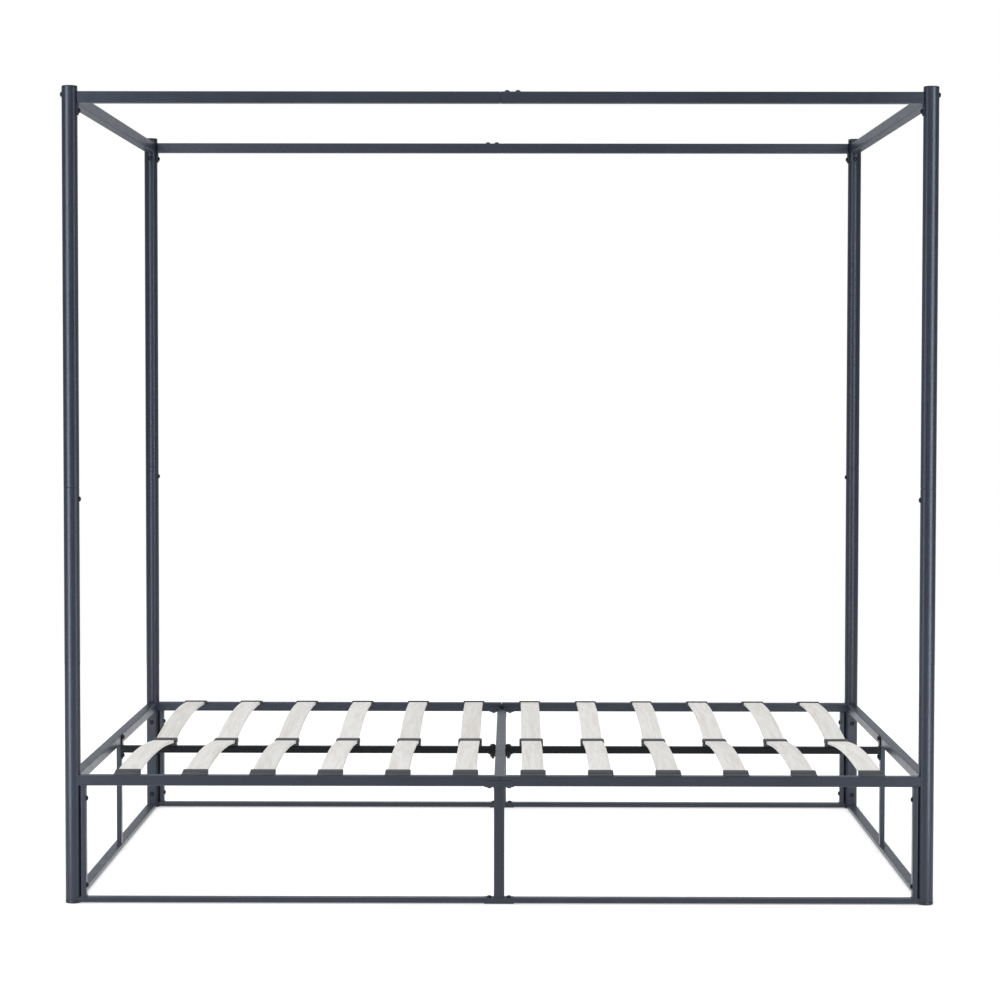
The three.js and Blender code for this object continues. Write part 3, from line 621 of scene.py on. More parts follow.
def weld_tree():
    """A rippled bead along each line."""
    tree, given = start_tree(
        "weld_beads", {"Lines": "Geometry", "Radius": "Float", "Ripple": "Float", "Finish": "Material"}
    )
    curve = add_node(tree, "GeometryNodeMeshToCurve", {"Mesh": given["Lines"]})
    even = add_node(
        tree, "GeometryNodeResampleCurve", {"Length": 1.1 * MM, "Curve": curve}, mode="LENGTH"
    )
    length = add_node(tree, "GeometryNodeSplineParameter").outputs["Length"]
    phase = add_node(tree, "ShaderNodeMath", {0: length, 1: given["Ripple"]}, operation="DIVIDE")
    wave = add_node(tree, "ShaderNodeMath", {0: phase}, operation="SINE")
    swell = add_node(tree, "ShaderNodeMath", {0: wave, 1: 0.12, 2: 1.0}, operation="MULTIPLY_ADD")
    thick = add_node(tree, "ShaderNodeMath", {0: swell, 1: given["Radius"]}, operation="MULTIPLY")
    ring = add_node(tree, "GeometryNodeCurvePrimitiveCircle", {"Resolution": 8, "Radius": 1.0})
    bead = add_node(
        tree, "GeometryNodeCurveToMesh",
        {"Fill Caps": True, "Curve": even, "Profile Curve": ring, "Scale": thick}
    )
    end_tree(tree, bead, given["Finish"])
    return tree


def run_tree(name, mesh, tree, inputs):
    """Gives an object a tree's result as its plain mesh."""
    made = link_object(name, mesh)
    modifier = made.modifiers.new(tree.name, "NODES")
    modifier.node_group = tree
    for item in tree.interface.items_tree:
        if item.item_type == "SOCKET" and item.in_out == "INPUT" and item.name in inputs:
            modifier[item.identifier] = inputs[item.name]
    settle(made)
    made.data.shade_smooth()
    made.data.set_sharp_from_angle(angle=math.radians(50))
    return made


def set_copies(name, template, places, material, nodes=(), own_turn=0.0):
    """Copies of a template on (place, Euler turn) pairs, as one piece."""
    mesh = bpy.data.meshes.new(name)
    mesh.from_pydata([place for place, turn in places], [], [])
    turns = mesh.attributes.new("turn", "FLOAT_VECTOR", "POINT")
    turns.data.foreach_set("vector", [value for place, turn in places for value in turn])
    pattern = link_object(f"{name}_pattern", template)
    tree = bpy.data.node_groups.get("set_copies") or scatter_tree()
    made = run_tree(
        name, mesh, tree,
        {
            "Piece": pattern, "Own turn": own_turn, "Seed": bpy.context.scene.bed_fastener_sizes.seed,
            "Finish": material
        }
    )
    bpy.data.objects.remove(pattern)
    bpy.data.meshes.remove(template)
    hand_over(made, nodes)
    return made


# Turns that point a template's +Z along a row axis.
FACING = {
    "+x": (0.0, math.pi / 2, 0.0), "-x": (0.0, -math.pi / 2, 0.0), "+y": (-math.pi / 2, 0.0, 0.0),
    "-y": (math.pi / 2, 0.0, 0.0), "+z": (0.0, 0.0, 0.0), "-z": (math.pi, 0.0, 0.0)
}
INWARD_X = {"left": FACING["+x"], "right": FACING["-x"]}
INWARD_Y = {"front": FACING["+y"], "rear": FACING["-y"]}


# ---- shared sizes and shapes ----
GAP = 0.3 * MM
EASE = 0.4 * MM
BITE = 0.5 * MM
UPRIGHT_BITE = MM
THIN_CORNER = 2 * MM
TUBE_MOUTH = 20 * MM
PLATE = 3 * MM
RAIL_HALF = RAIL_WIDTH / 2
RAIL_LOW = RAIL_TOP - RAIL_WIDTH
LEG_WALL = LEG_HALF_DEPTH - RAIL_HALF - GAP
POST_REACH = POST_RADIUS + GAP
SADDLE_HALF = 13 * MM


def cope_x(u, v):
    """Where a rail along X meets the rear right post's round side."""
    return POST_X - math.sqrt(POST_REACH**2 - (u - POST_Y) ** 2)


def cope_y(u, v):
    """The same for a rail along Y, at its rear end."""
    return POST_Y - math.sqrt(POST_REACH**2 - (v - POST_X) ** 2)


def saddle_outer():
    return POST_REACH + bpy.context.scene.bed_frame_sizes.saddle_wall


def add_saddle(bm, axis):
    """The curved plate between a canopy rail along axis (0 or 1) and the rear right post."""
    outer = saddle_outer()
    steps = 20
    grid = {}
    for i in range(steps + 1):
        across = SADDLE_HALF * math.sin(math.pi * (i / steps - 0.5))
        drop = math.sqrt(max(0.0, SADDLE_HALF**2 - across**2))
        angle = math.asin(across / outer)
        for layer, radius in enumerate((POST_REACH, outer)):
            forward = -radius * math.cos(angle)
            sideways = radius * math.sin(angle)
            x, y = (forward, sideways) if axis == 0 else (sideways, forward)
            for level, z in enumerate((SADDLE_LOW + SADDLE_HALF - drop, CANOPY_TOP)):
                grid[i, layer, level] = bm.verts.new((POST_X + x, POST_Y + y, z))
    square = ((0, 0), (1, 0), (1, 1), (0, 1))
    for i in range(steps):
        for k in (0, 1):
            bm.faces.new([grid[i + a, k, b] for a, b in square])
        for k in (0, 1):
            bm.faces.new([grid[i + a, b, k] for a, b in square])
    for i in (0, steps):
        bm.faces.new([grid[i, a, b] for a, b in square])


def add_channel(bm, centre_y, reach, half, floor_top, side_top, wall):
    """An open-topped channel along X round a bar of half width half, with folded corners."""
    inner = half + GAP
    outer = inner + wall
    fold = wall * 1.4
    bend = 4
    floor_low = floor_top - wall
    outline = [(centre_y - outer, side_top), (centre_y - outer, floor_low + fold)]
    for sign, first, start in ((-1, 1, math.pi), (1, 0, -math.pi / 2)):
        for i in range(first, bend + 1):
            angle = start + math.pi / 2 * i / bend
            middle_y = centre_y + sign * (outer - fold)
            outline.append((middle_y + fold * math.cos(angle), floor_low + fold + fold * math.sin(angle)))
    outline += [(centre_y + outer, side_top), (centre_y + inner, side_top), (centre_y + inner, floor_top)]
    outline += [(centre_y - inner, floor_top), (centre_y - inner, side_top)]
    add_prism(bm, 0, outline, -reach, reach, 0.25 * MM)


def add_end_plate(bm, axis, start, end, low_z, high_z):
    """The flat plate at the end of a rail, rounded at its top and its foot."""
    steps = 14
    outline = []
    for base, start_angle in ((high_z - RAIL_HALF, 0.0), (low_z + RAIL_HALF, math.pi)):
        for i in range(steps + 1):
            angle = start_angle + math.pi * i / steps
            across = RAIL_HALF * math.cos(angle)
            up = base + RAIL_HALF * math.sin(angle)
            outline.append((across, up) if axis == 0 else (up, across))
    add_prism(bm, axis, outline, start, end, BITE)


# ---- pieces ----
NECK_LENGTH = 30 * MM
SLIDE = 0.6 * MM


class BED_OT_make_posts(bpy.types.Operator):
    """Turn the eight post tubes, with eased ends at the seams"""

    bl_idname = "bed.make_posts"
    bl_label = "Posts"

    def execute(self, context):
        wall = context.scene.bed_frame_sizes.tube_wall
        bore = POST_RADIUS - wall
        neck = bore - SLIDE
        ease = 0.9 * MM
        shoulder = SEAM_Z + GAP
        profiles = {
            "lower": [
                (bore, POST_LOW), (POST_RADIUS - ease / 2, POST_LOW), (POST_RADIUS, POST_LOW + ease / 2),
                (POST_RADIUS, SEAM_Z - ease), (POST_RADIUS - ease * 0.3, SEAM_Z - ease * 0.3),
                (POST_RADIUS - ease, SEAM_Z), (bore, SEAM_Z)
            ],
            "upper": [
                (neck - wall, SEAM_Z - NECK_LENGTH), (neck - ease, SEAM_Z - NECK_LENGTH),
                (neck, SEAM_Z - NECK_LENGTH + 2 * MM), (neck, shoulder), (POST_RADIUS - ease, shoulder),
                (POST_RADIUS - ease * 0.3, shoulder + ease * 0.3), (POST_RADIUS, shoulder + ease),
                (POST_RADIUS, POST_TOP - ease / 2), (POST_RADIUS - ease / 2, POST_TOP), (bore, POST_TOP),
                (bore, shoulder + 4 * MM), (neck - wall, shoulder + MM)
            ]
        }
        for side, end in CORNERS:
            for level, profile in profiles.items():
                bm = bmesh.new()
                add_turned(bm, profile, ENDS[end] * POST_X, SIDES[side] * POST_Y, 72, closed=True)
                name = f"post_{level}_{side}_{end}"
                node = f"{level}_post_{side}_{end}"
                add_piece(name, bm, powder_coat(), [node])
        return {"FINISHED"}


FOOT_STEM = 15 * MM
CAP_STEM = 10 * MM


class BED_OT_make_plugs(bpy.types.Operator):
    """Set the plastic plugs in the feet and the tops of the posts"""

    bl_idname = "bed.make_plugs"
    bl_label = "Tube plugs"

    def execute(self, context):
        material = finish_named("moulded_polypropylene_plug", plug_plastic)
        stem = POST_RADIUS - context.scene.bed_frame_sizes.tube_wall - GAP
        foot_top = POST_LOW - GAP
        foot = [
            (0, 0), (POST_RADIUS - 2.2 * MM, 0), (POST_RADIUS - 0.9 * MM, 0.4 * MM),
            (POST_RADIUS - 0.15 * MM, 1.6 * MM), (POST_RADIUS, 2.6 * MM),
            (POST_RADIUS, foot_top - 0.4 * MM), (POST_RADIUS - 0.4 * MM, foot_top), (stem, foot_top),
            (stem, foot_top + FOOT_STEM), (0, foot_top + FOOT_STEM)
        ]
        seat = POST_TOP + GAP
        crown = CAP_TOP - seat
        top = [(0, -CAP_STEM), (stem, -CAP_STEM), (stem, 0), (POST_RADIUS - GAP, 0), (POST_RADIUS, GAP)]
        dome_steps = 10
        for i in range(dome_steps):
            angle = math.pi / 2 * i / dome_steps
            height = 0.35 * crown + 0.65 * crown * math.sin(angle) ** 1.2
            top.append((POST_RADIUS * math.cos(angle) ** 0.35, height))
        top.append((0, crown))
        for kind, profile, base, stem_name in (
            ("foot_plugs", foot, 0.0, "foot_cap"), ("top_plugs", top, seat, "post_cap")
        ):
            bm = bmesh.new()
            add_turned(bm, profile)
            places = [
                ((ENDS[end] * POST_X, SIDES[side] * POST_Y, base), FACING["+z"]) for side, end in CORNERS
            ]
            nodes = [f"{stem_name}_{side}_{end}" for side, end in CORNERS]
            set_copies(kind, plain_mesh(kind, bm), places, material, nodes)
        return {"FINISHED"}


JOINER_REACH = 40 * MM
JOINER_ROOT = 12 * MM


class BED_OT_make_canopy(bpy.types.Operator):
    """Make the canopy's long rails in halves, its end rails and their curved saddle plates"""

    bl_idname = "bed.make_canopy"
    bl_label = "Canopy rails"

    def execute(self, context):
        sizes = context.scene.bed_frame_sizes
        half = CANOPY_WIDTH / 2
        bore = half - sizes.tube_wall
        low_z = CANOPY_TOP - CANOPY_WIDTH
        reach_x = POST_X - saddle_outer() + GAP
        for side, end in CORNERS:
            node = f"canopy_rail_{side}_{end}"
            bm = bmesh.new()
            add_bar(
                bm, 0, (EASE, POST_Y - half, low_z), (reach_x, POST_Y + half, CANOPY_TOP),
                sizes.tube_corner, pockets={"low": (bore, bore, TUBE_MOUTH)}
            )
            add_saddle(bm, 0)
            if self.holds_joiner(side, end):
                slide = bore - SLIDE
                mid_z = CANOPY_TOP - half
                add_bar(
                    bm, 0, (-JOINER_REACH, POST_Y - slide, mid_z - slide),
                    (JOINER_ROOT, POST_Y + slide, mid_z + slide), 1.5 * MM
                )
            mirror(bm, ENDS[end], SIDES[side])
            add_piece(node.replace("rail", "half_rail"), bm, powder_coat(), [node])
        reach_y = POST_Y - saddle_outer() + GAP
        for end in ENDS:
            node = f"canopy_end_rail_{end}"
            bm = bmesh.new()
            add_saddle(bm, 1)
            bmesh.ops.mirror(bm, geom=bm.verts[:] + bm.edges[:] + bm.faces[:], axis="Y")
            add_bar(
                bm, 1, (POST_X - half, -reach_y, low_z), (POST_X + half, reach_y, CANOPY_TOP),
                sizes.tube_corner
            )
            mirror(bm, ENDS[end], 1)
            add_piece(node.replace("end_rail", "cross_rail"), bm, powder_coat(), [node])
        return {"FINISHED"}

    def holds_joiner(self, side, end):
        """The joining tube is welded in the half whose solid reaches past the middle."""
        low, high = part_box(f"canopy_rail_{side}_{end}")
        return low.x < 0 < high.x


class BED_OT_make_side_frames(bpy.types.Operator):
    """Make the four half frames of the long sides"""

    bl_idname = "bed.make_side_frames"
    bl_label = "Side frames"

    def execute(self, context):
        sizes = context.scene.bed_frame_sizes
        near, far = POST_Y - RAIL_HALF, POST_Y + RAIL_HALF
        bottom_high = BOTTOM_LOW + sizes.flat_bar
        outer = POST_X - sizes.upright_offset
        inner = outer - sizes.flat_bar
        bore = RAIL_HALF - sizes.tube_wall
        start = RAIL_HALF + 0.7 * MM
        for side, end in CORNERS:
            node = f"side_frame_{side}_{end}"
            bm = bmesh.new()
            add_bar(
                bm, 0, (EASE, near, RAIL_LOW), (POST_X, far, RAIL_TOP), sizes.tube_corner,
                cut_high=cope_x, pockets={"low": (bore, bore, TUBE_MOUTH)}
            )
            add_bar(
                bm, 0, (start, near, BOTTOM_LOW), (POST_X, far, bottom_high), THIN_CORNER, cut_high=cope_x
            )
            low_z, high_z = bottom_high - UPRIGHT_BITE, RAIL_LOW + UPRIGHT_BITE
            add_bar(bm, 2, (inner, near, low_z), (outer, far, high_z), THIN_CORNER)
            mirror(bm, ENDS[end], SIDES[side])
            add_piece(node.replace("frame", "panel"), bm, powder_coat(), [node])
        return {"FINISHED"}


class BED_OT_make_end_frames(bpy.types.Operator):
    """Make the head and foot frames, each with a middle upright"""

    bl_idname = "bed.make_end_frames"
    bl_label = "End frames"

    def execute(self, context):
        sizes = context.scene.bed_frame_sizes
        near, far = POST_X - RAIL_HALF, POST_X + RAIL_HALF
        bottom_high = BOTTOM_LOW + sizes.flat_bar
        outer = POST_Y - sizes.upright_offset
        inner = outer - sizes.flat_bar
        for end in ENDS:
            node = f"end_frame_{end}"
            bm = bmesh.new()
            rails = ((RAIL_LOW, RAIL_TOP, sizes.tube_corner), (BOTTOM_LOW, bottom_high, THIN_CORNER))
            for low_z, high_z, corner in rails:
                add_bar(
                    bm, 1, (near, -POST_Y, low_z), (far, POST_Y, high_z), corner, cut_low=lambda u,
                    v: -cope_y(u, v), cut_high=cope_y
                )
            low_z, high_z = bottom_high - UPRIGHT_BITE, RAIL_LOW + UPRIGHT_BITE
            flush = near + sizes.flat_bar
            for low_y, high_y, reach in (
                (inner, outer, far), (-outer, -inner, far), (-RAIL_HALF, RAIL_HALF, flush)
            ):
                add_bar(bm, 2, (near, low_y, low_z), (reach, high_y, high_z), THIN_CORNER)
            mirror(bm, ENDS[end], 1)
            add_piece(node.replace("frame", "panel"), bm, powder_coat(), [node])
        return {"FINISHED"}


class BED_OT_make_centre_legs(bpy.types.Operator):
    """Make the two centre legs with the channels that join the side frames"""

    bl_idname = "bed.make_centre_legs"
    bl_label = "Centre legs"

    def execute(self, context):
        sizes = context.scene.bed_frame_sizes
        upper_floor = RAIL_LOW - GAP
        lower_floor = BOTTOM_LOW - GAP
        for side in SIDES:
            node = f"centre_leg_{side}"
            bm = bmesh.new()
            add_bar(
                bm, 2, (-RAIL_HALF, POST_Y - RAIL_HALF, lower_floor - BITE),
                (RAIL_HALF, POST_Y + RAIL_HALF, upper_floor - LEG_WALL + BITE), sizes.tube_corner
            )
            add_channel(bm, POST_Y, LEG_REACH, RAIL_HALF, upper_floor, LEG_TOP, LEG_WALL)
            add_channel(
                bm, POST_Y, LEG_REACH, RAIL_HALF, lower_floor, BOTTOM_LOW + sizes.flat_bar,
                lower_floor - LEG_LOW
            )
            mirror(bm, 1, SIDES[side])
            add_piece(node.replace("centre", "middle"), bm, powder_coat(), [node])
        return {"FINISHED"}


class BED_OT_make_centre_rails(bpy.types.Operator):
    """Make the cross rail and the two centre rails with their end plates"""

    bl_idname = "bed.make_centre_rails"
    bl_label = "Centre rails"

    def execute(self, context):
        sizes = context.scene.bed_frame_sizes
        half = sizes.centre_rail / 2
        rail_low = sizes.centre_rail_top - sizes.centre_rail
        bm = bmesh.new()
        back = CROSS_PLATE_FACE - PLATE
        add_bar(
            bm, 1, (-RAIL_HALF, -back - BITE, sizes.cross_rail_top - RAIL_WIDTH),
            (RAIL_HALF, back + BITE, sizes.cross_rail_top), sizes.tube_corner
        )
        for start, end in ((back, CROSS_PLATE_FACE), (-CROSS_PLATE_FACE, -back)):
            add_end_plate(bm, 1, start, end, CROSS_PLATE_LOW, CROSS_PLATE_HIGH)
        add_piece("cross_bearer", bm, powder_coat(), ["cross_rail"])
        dark = finish_named("satin_black_powder_coat", black_powder_coat)
        wall = sizes.tube_wall
        bm = bmesh.new()
        add_channel(bm, 0.0, HANGER_REACH, half, rail_low - GAP, HANGER_TOP, wall)
        add_piece("hanger_channel", bm, dark, ["centre_hanger"])
        back = CENTRE_PLATE_FACE - PLATE
        for end in ENDS:
            bm = bmesh.new()
            add_bar(
                bm, 0, (RAIL_HALF + GAP, -half, rail_low), (back + BITE, half, sizes.centre_rail_top),
                THIN_CORNER, pockets={"low": (half - wall, half - wall, TUBE_MOUTH)}
            )
            add_end_plate(bm, 0, back, CENTRE_PLATE_FACE, PLATE_LOW, PLATE_HIGH)
            mirror(bm, ENDS[end], 1)
            node = f"centre_rail_{end}"
            add_piece(f"slat_bearer_{end}", bm, dark, [node])
        return {"FINISHED"}


class BED_OT_make_welds(bpy.types.Operator):
    """Run a weld bead round each joint of the tubes"""

    bl_idname = "bed.make_welds"
    bl_label = "Weld beads"

    def execute(self, context):
        sizes = context.scene.bed_frame_sizes
        loops = self.upright_ends(sizes) + self.rail_ends(sizes)
        verts, edges = [], []
        for loop in loops:
            base = len(verts)
            count = len(loop)
            verts += loop
            edges += [(base + i, base + (i + 1) % count) for i in range(count)]
        mesh = bpy.data.meshes.new("weld_lines")
        mesh.from_pydata(verts, edges, [])
        inputs = {"Radius": sizes.weld, "Ripple": 0.5 * MM, "Finish": powder_coat()}
        hand_over(run_tree("weld_beads", mesh, weld_tree(), inputs))
        return {"FINISHED"}

    def upright_ends(self, sizes):
        """Level beads round the feet and the tops of the uprights, and round the centre legs."""
        thin = sizes.flat_bar / 2
        inward = sizes.upright_offset + thin
        places = []
        for level in (BOTTOM_LOW + sizes.flat_bar + EASE, RAIL_LOW - EASE):
            for x in (-1, 1):
                for y in (-1, 1):
                    places.append(
                        (x * (POST_X - inward), y * POST_Y, thin, RAIL_HALF, level, THIN_CORNER)
                    )
                    places.append(
                        (x * POST_X, y * (POST_Y - inward), RAIL_HALF, thin, level, THIN_CORNER)
                    )
                places.append((x * (POST_X - RAIL_HALF + thin), 0.0, thin, RAIL_HALF, level, THIN_CORNER))
        level = RAIL_LOW - GAP - LEG_WALL - EASE
        for y in (-1, 1):
            places.append((0.0, y * POST_Y, RAIL_HALF, RAIL_HALF, level, sizes.tube_corner))
        return [
            [(x + u, y + v, z) for u, v in rounded_rectangle(half_x, half_y, corner)]
            for x, y, half_x, half_y, z, corner in places
        ]

    def rail_ends(self, sizes):
        """Beads where the canopy rails meet their saddles, and where rails meet end plates."""
        lines = []
        half = CANOPY_WIDTH / 2 - EASE
        mid_z = CANOPY_TOP - CANOPY_WIDTH / 2
        section = rounded_rectangle(half - 1.2 * MM, half - 0.6 * MM, sizes.tube_corner)
        inward = saddle_outer() - 0.6 * MM
        for x in (-1, 1):
            for y in (-1, 1):
                lines.append([(x * (POST_X - inward), y * POST_Y + u, mid_z + v) for u, v in section])
                lines.append([(x * POST_X + u, y * (POST_Y - inward), mid_z + v) for u, v in section])
        back = PLATE + EASE
        cross = rounded_rectangle(RAIL_HALF - 0.8 * MM, RAIL_HALF, sizes.tube_corner)
        mid_z = sizes.cross_rail_top - RAIL_HALF
        at = CROSS_PLATE_FACE - back
        lines += [[(u, sign * at, mid_z + v) for u, v in cross] for sign in (-1, 1)]
        half = sizes.centre_rail / 2
        small = rounded_rectangle(half, half, THIN_CORNER)
        mid_z = sizes.centre_rail_top - half
        at = CENTRE_PLATE_FACE - back
        lines += [[(sign * at, u, mid_z + v) for u, v in small] for sign in (-1, 1)]
        return lines


# Where the bolts stand.
CORNER_BOLT_HEIGHTS = (43 * MM, 256 * MM)
SEAM_BOLT_DROP = 28 * MM
SADDLE_BOLT_RISE = 11 * MM
OUTER_BOLT_DROP = 7 * MM
CANOPY_JOINT_BOLTS = (17 * MM, 43 * MM)
LEG_BOLT = 24 * MM
CENTRE_JOINT_BOLT = 21 * MM
CROSS_PLATE_BOLTS = (CROSS_PLATE_LOW + 8.4 * MM, CROSS_PLATE_HIGH - 8.5 * MM)
CENTRE_PLATE_BOLTS = (PLATE_LOW + 10.5 * MM, PLATE_HIGH - 11 * MM)
JOINT_HEAD_RADIUS = 8 * MM
JOINT_HEAD_HEIGHT = 6 * MM
BOLT_STEPS = 36
DOME_STEPS = 7


class BED_OT_make_bolts(bpy.types.Operator):
    """Set the dome headed bolts and the nuts of every joint"""

    bl_idname = "bed.make_bolts"
    bl_label = "Bolts and nuts"

    def execute(self, context):
        material = finish_named("blackened_steel_screw", blackened_steel)
        self.sizes = context.scene.bed_fastener_sizes
        rails = context.scene.bed_frame_sizes
        under = rails.centre_rail_top - rails.centre_rail - GAP - rails.tube_wall
        joints = [sign * CENTRE_JOINT_BOLT for sign in (-1, 1)]
        nuts = [((x, 0.0, under), FACING["-z"]) for x in joints]
        heads = [((x, 0.0, rails.centre_rail_top), FACING["+z"]) for x in joints]
        domes = self.corner_places() + self.canopy_places() + self.centre_places()
        for name, template, places in (
            ("dome_bolts", self.head(self.sizes.head_radius, self.sizes.head_height), domes),
            ("bolt_nuts", self.nut(), nuts),
            ("joint_bolts", self.head(JOINT_HEAD_RADIUS, JOINT_HEAD_HEIGHT), heads)
        ):
            set_copies(name, template, places, material, own_turn=math.pi / 3)
        return {"FINISHED"}

    def corner_places(self):
        """Bolts between the frames and the posts, and those of the post seams."""
        rails = bpy.context.scene.bed_frame_sizes
        reach = rails.upright_offset + rails.flat_bar
        places = []
        for side, end in CORNERS:
            x, y = ENDS[end], SIDES[side]
            inward_x, inward_y = INWARD_X[end], INWARD_Y[side]
            for z in CORNER_BOLT_HEIGHTS:
                places.append(((x * (POST_X - reach), y * POST_Y, z), inward_x))
                places.append(((x * POST_X, y * (POST_Y - reach), z), inward_y))
            rim = x * (POST_X - POST_RADIUS + BITE)
            places.append(((rim, y * POST_Y, SEAM_Z - SEAM_BOLT_DROP), inward_x))
        return places

    def canopy_places(self):
        """Bolts through the saddles, and those on top of the long rails beside their seams."""
        places = []
        outer = saddle_outer() - EASE
        tab_z = SADDLE_LOW + SADDLE_BOLT_RISE
        for side, end in CORNERS:
            x, y = ENDS[end], SIDES[side]
            places.append(((x * (POST_X - outer), y * POST_Y, tab_z), INWARD_X[end]))
            places.append(((x * POST_X, y * (POST_Y - outer), tab_z), INWARD_Y[side]))
            rim = x * (POST_X + POST_RADIUS - BITE)
            outward = FACING["+x"] if x > 0 else FACING["-x"]
            places.append(((rim, y * POST_Y, CANOPY_TOP - OUTER_BOLT_DROP), outward))
        for y in (-1, 1):
            for step in CANOPY_JOINT_BOLTS:
                places.append(((-y * step, y * POST_Y, CANOPY_TOP), FACING["+z"]))
        return places

    def centre_places(self):
        """Bolts of the centre legs, the end plates and the centre rails."""
        under = RAIL_LOW - GAP - LEG_WALL
        over = BOTTOM_LOW + bpy.context.scene.bed_frame_sizes.flat_bar
        places = []
        for x in (-LEG_BOLT, LEG_BOLT):
            for y in (-POST_Y, POST_Y):
                places += [((x, y, under), FACING["-z"]), ((x, y, over), FACING["+z"])]
        for side, end in (("front", "left"), ("rear", "right")):
            at_y = SIDES[side] * (CROSS_PLATE_FACE - PLATE)
            at_x = ENDS[end] * (CENTRE_PLATE_FACE - PLATE)
            places += [((0.0, at_y, z), INWARD_Y[side]) for z in CROSS_PLATE_BOLTS]
            places += [((at_x, 0.0, z), INWARD_X[end]) for z in CENTRE_PLATE_BOLTS]
        return places

    def hexagon_radius(self, angle, across_flats):
        """The radius of a hexagon at an angle."""
        wedge = math.pi / 3
        return across_flats / 2 / math.cos((angle % wedge) - wedge / 2)

    def head(self, radius, height):
        """A dome head with a hexagon socket, its back at z = 0."""
        rim = 0.5 * MM
        mouth = self.sizes.socket * 0.66
        sweep = 0.72
        rows = [(radius * 0.94, -0.2 * MM), (radius * 0.98, 0.1 * MM), (radius, rim)]
        for i in range(1, DOME_STEPS + 1):
            angle = math.pi / 2 * i / DOME_STEPS * sweep
            z = rim + (height - rim) * math.sin(angle) / math.sin(math.pi / 2 * sweep)
            rows.append((max(radius * math.cos(angle), mouth), z))
        rows.append((mouth, height))
        bm = bmesh.new()
        rings = [round_ring(bm, BOLT_STEPS, lambda angle: reach, z) for reach, z in rows]
        for z in (height - 0.25 * MM, height * 0.35):
            rings.append(
                round_ring(bm, BOLT_STEPS, lambda a: self.hexagon_radius(a, self.sizes.socket), z)
            )
        add_skin(bm, rings)
        return plain_mesh("dome_head", bm)

    def nut(self):
        """A washer and a hexagon nut on the end of a bolt, with the bolt's tip standing out."""
        flats = 13 * MM
        washer = [(8.8 * MM, 0.0), (9 * MM, 0.2 * MM), (9 * MM, 1.4 * MM), (8.8 * MM, 1.6 * MM)]
        rows = [(0.96, 1.6 * MM), (1.0, 2 * MM), (1.0, 7.2 * MM), (0.93, 7.8 * MM)]
        tip = [(4.1 * MM, 7.8 * MM), (3.9 * MM, 8 * MM), (3.9 * MM, 12 * MM), (3.1 * MM, 12.8 * MM)]
        bm = bmesh.new()
        rings = [round_ring(bm, BOLT_STEPS, lambda angle: radius, z) for radius, z in washer]
        for scale, z in rows:
            rings.append(
                round_ring(
                    bm, BOLT_STEPS,
                    lambda a: scale * min(self.hexagon_radius(a, flats), flats / 2 * 1.13), z
                )
            )
        rings += [round_ring(bm, BOLT_STEPS, lambda angle: radius, z) for radius, z in tip]
        add_skin(bm, rings)
        return plain_mesh("nut", bm)


SLAT_FIRST_X = middle("slat_rear_01", 0)
SLAT_INNER_Y = 6 * MM
SLAT_OUTER_Y = 762 * MM
SLAT_EDGE = 1.2 * MM


class BED_OT_make_slats(bpy.types.Operator):
    """Bow the slats of both rows"""

    bl_idname = "bed.make_slats"
    bl_label = "Slats"

    def execute(self, context):
        sizes = context.scene.bed_slat_sizes
        half = sizes.thickness / 2
        material = finish_named("sanded_birch_plywood", birch_plywood)
        made = run_tree(
            "bowed_slats", bpy.data.meshes.new("bowed_slats"), slat_tree(),
            {
                "Inner end": (0.0, SLAT_INNER_Y, sizes.inner_low + half),
                "Outer end": (0.0, SLAT_OUTER_Y, sizes.outer_low + half), "Rise": sizes.rise,
                "Width": sizes.width, "Thickness": sizes.thickness, "Edge radius": SLAT_EDGE,
                "Count": SLAT_COUNT, "First": (SLAT_FIRST_X, 0.0, 0.0), "Pitch": (SLAT_PITCH, 0.0, 0.0),
                "Seed": sizes.seed, "Finish": material
            }
        )
        nodes = [f"slat_{side}_{i + 1:02d}" for side in SIDES for i in range(SLAT_COUNT)]
        hand_over(made, nodes)
        return {"FINISHED"}


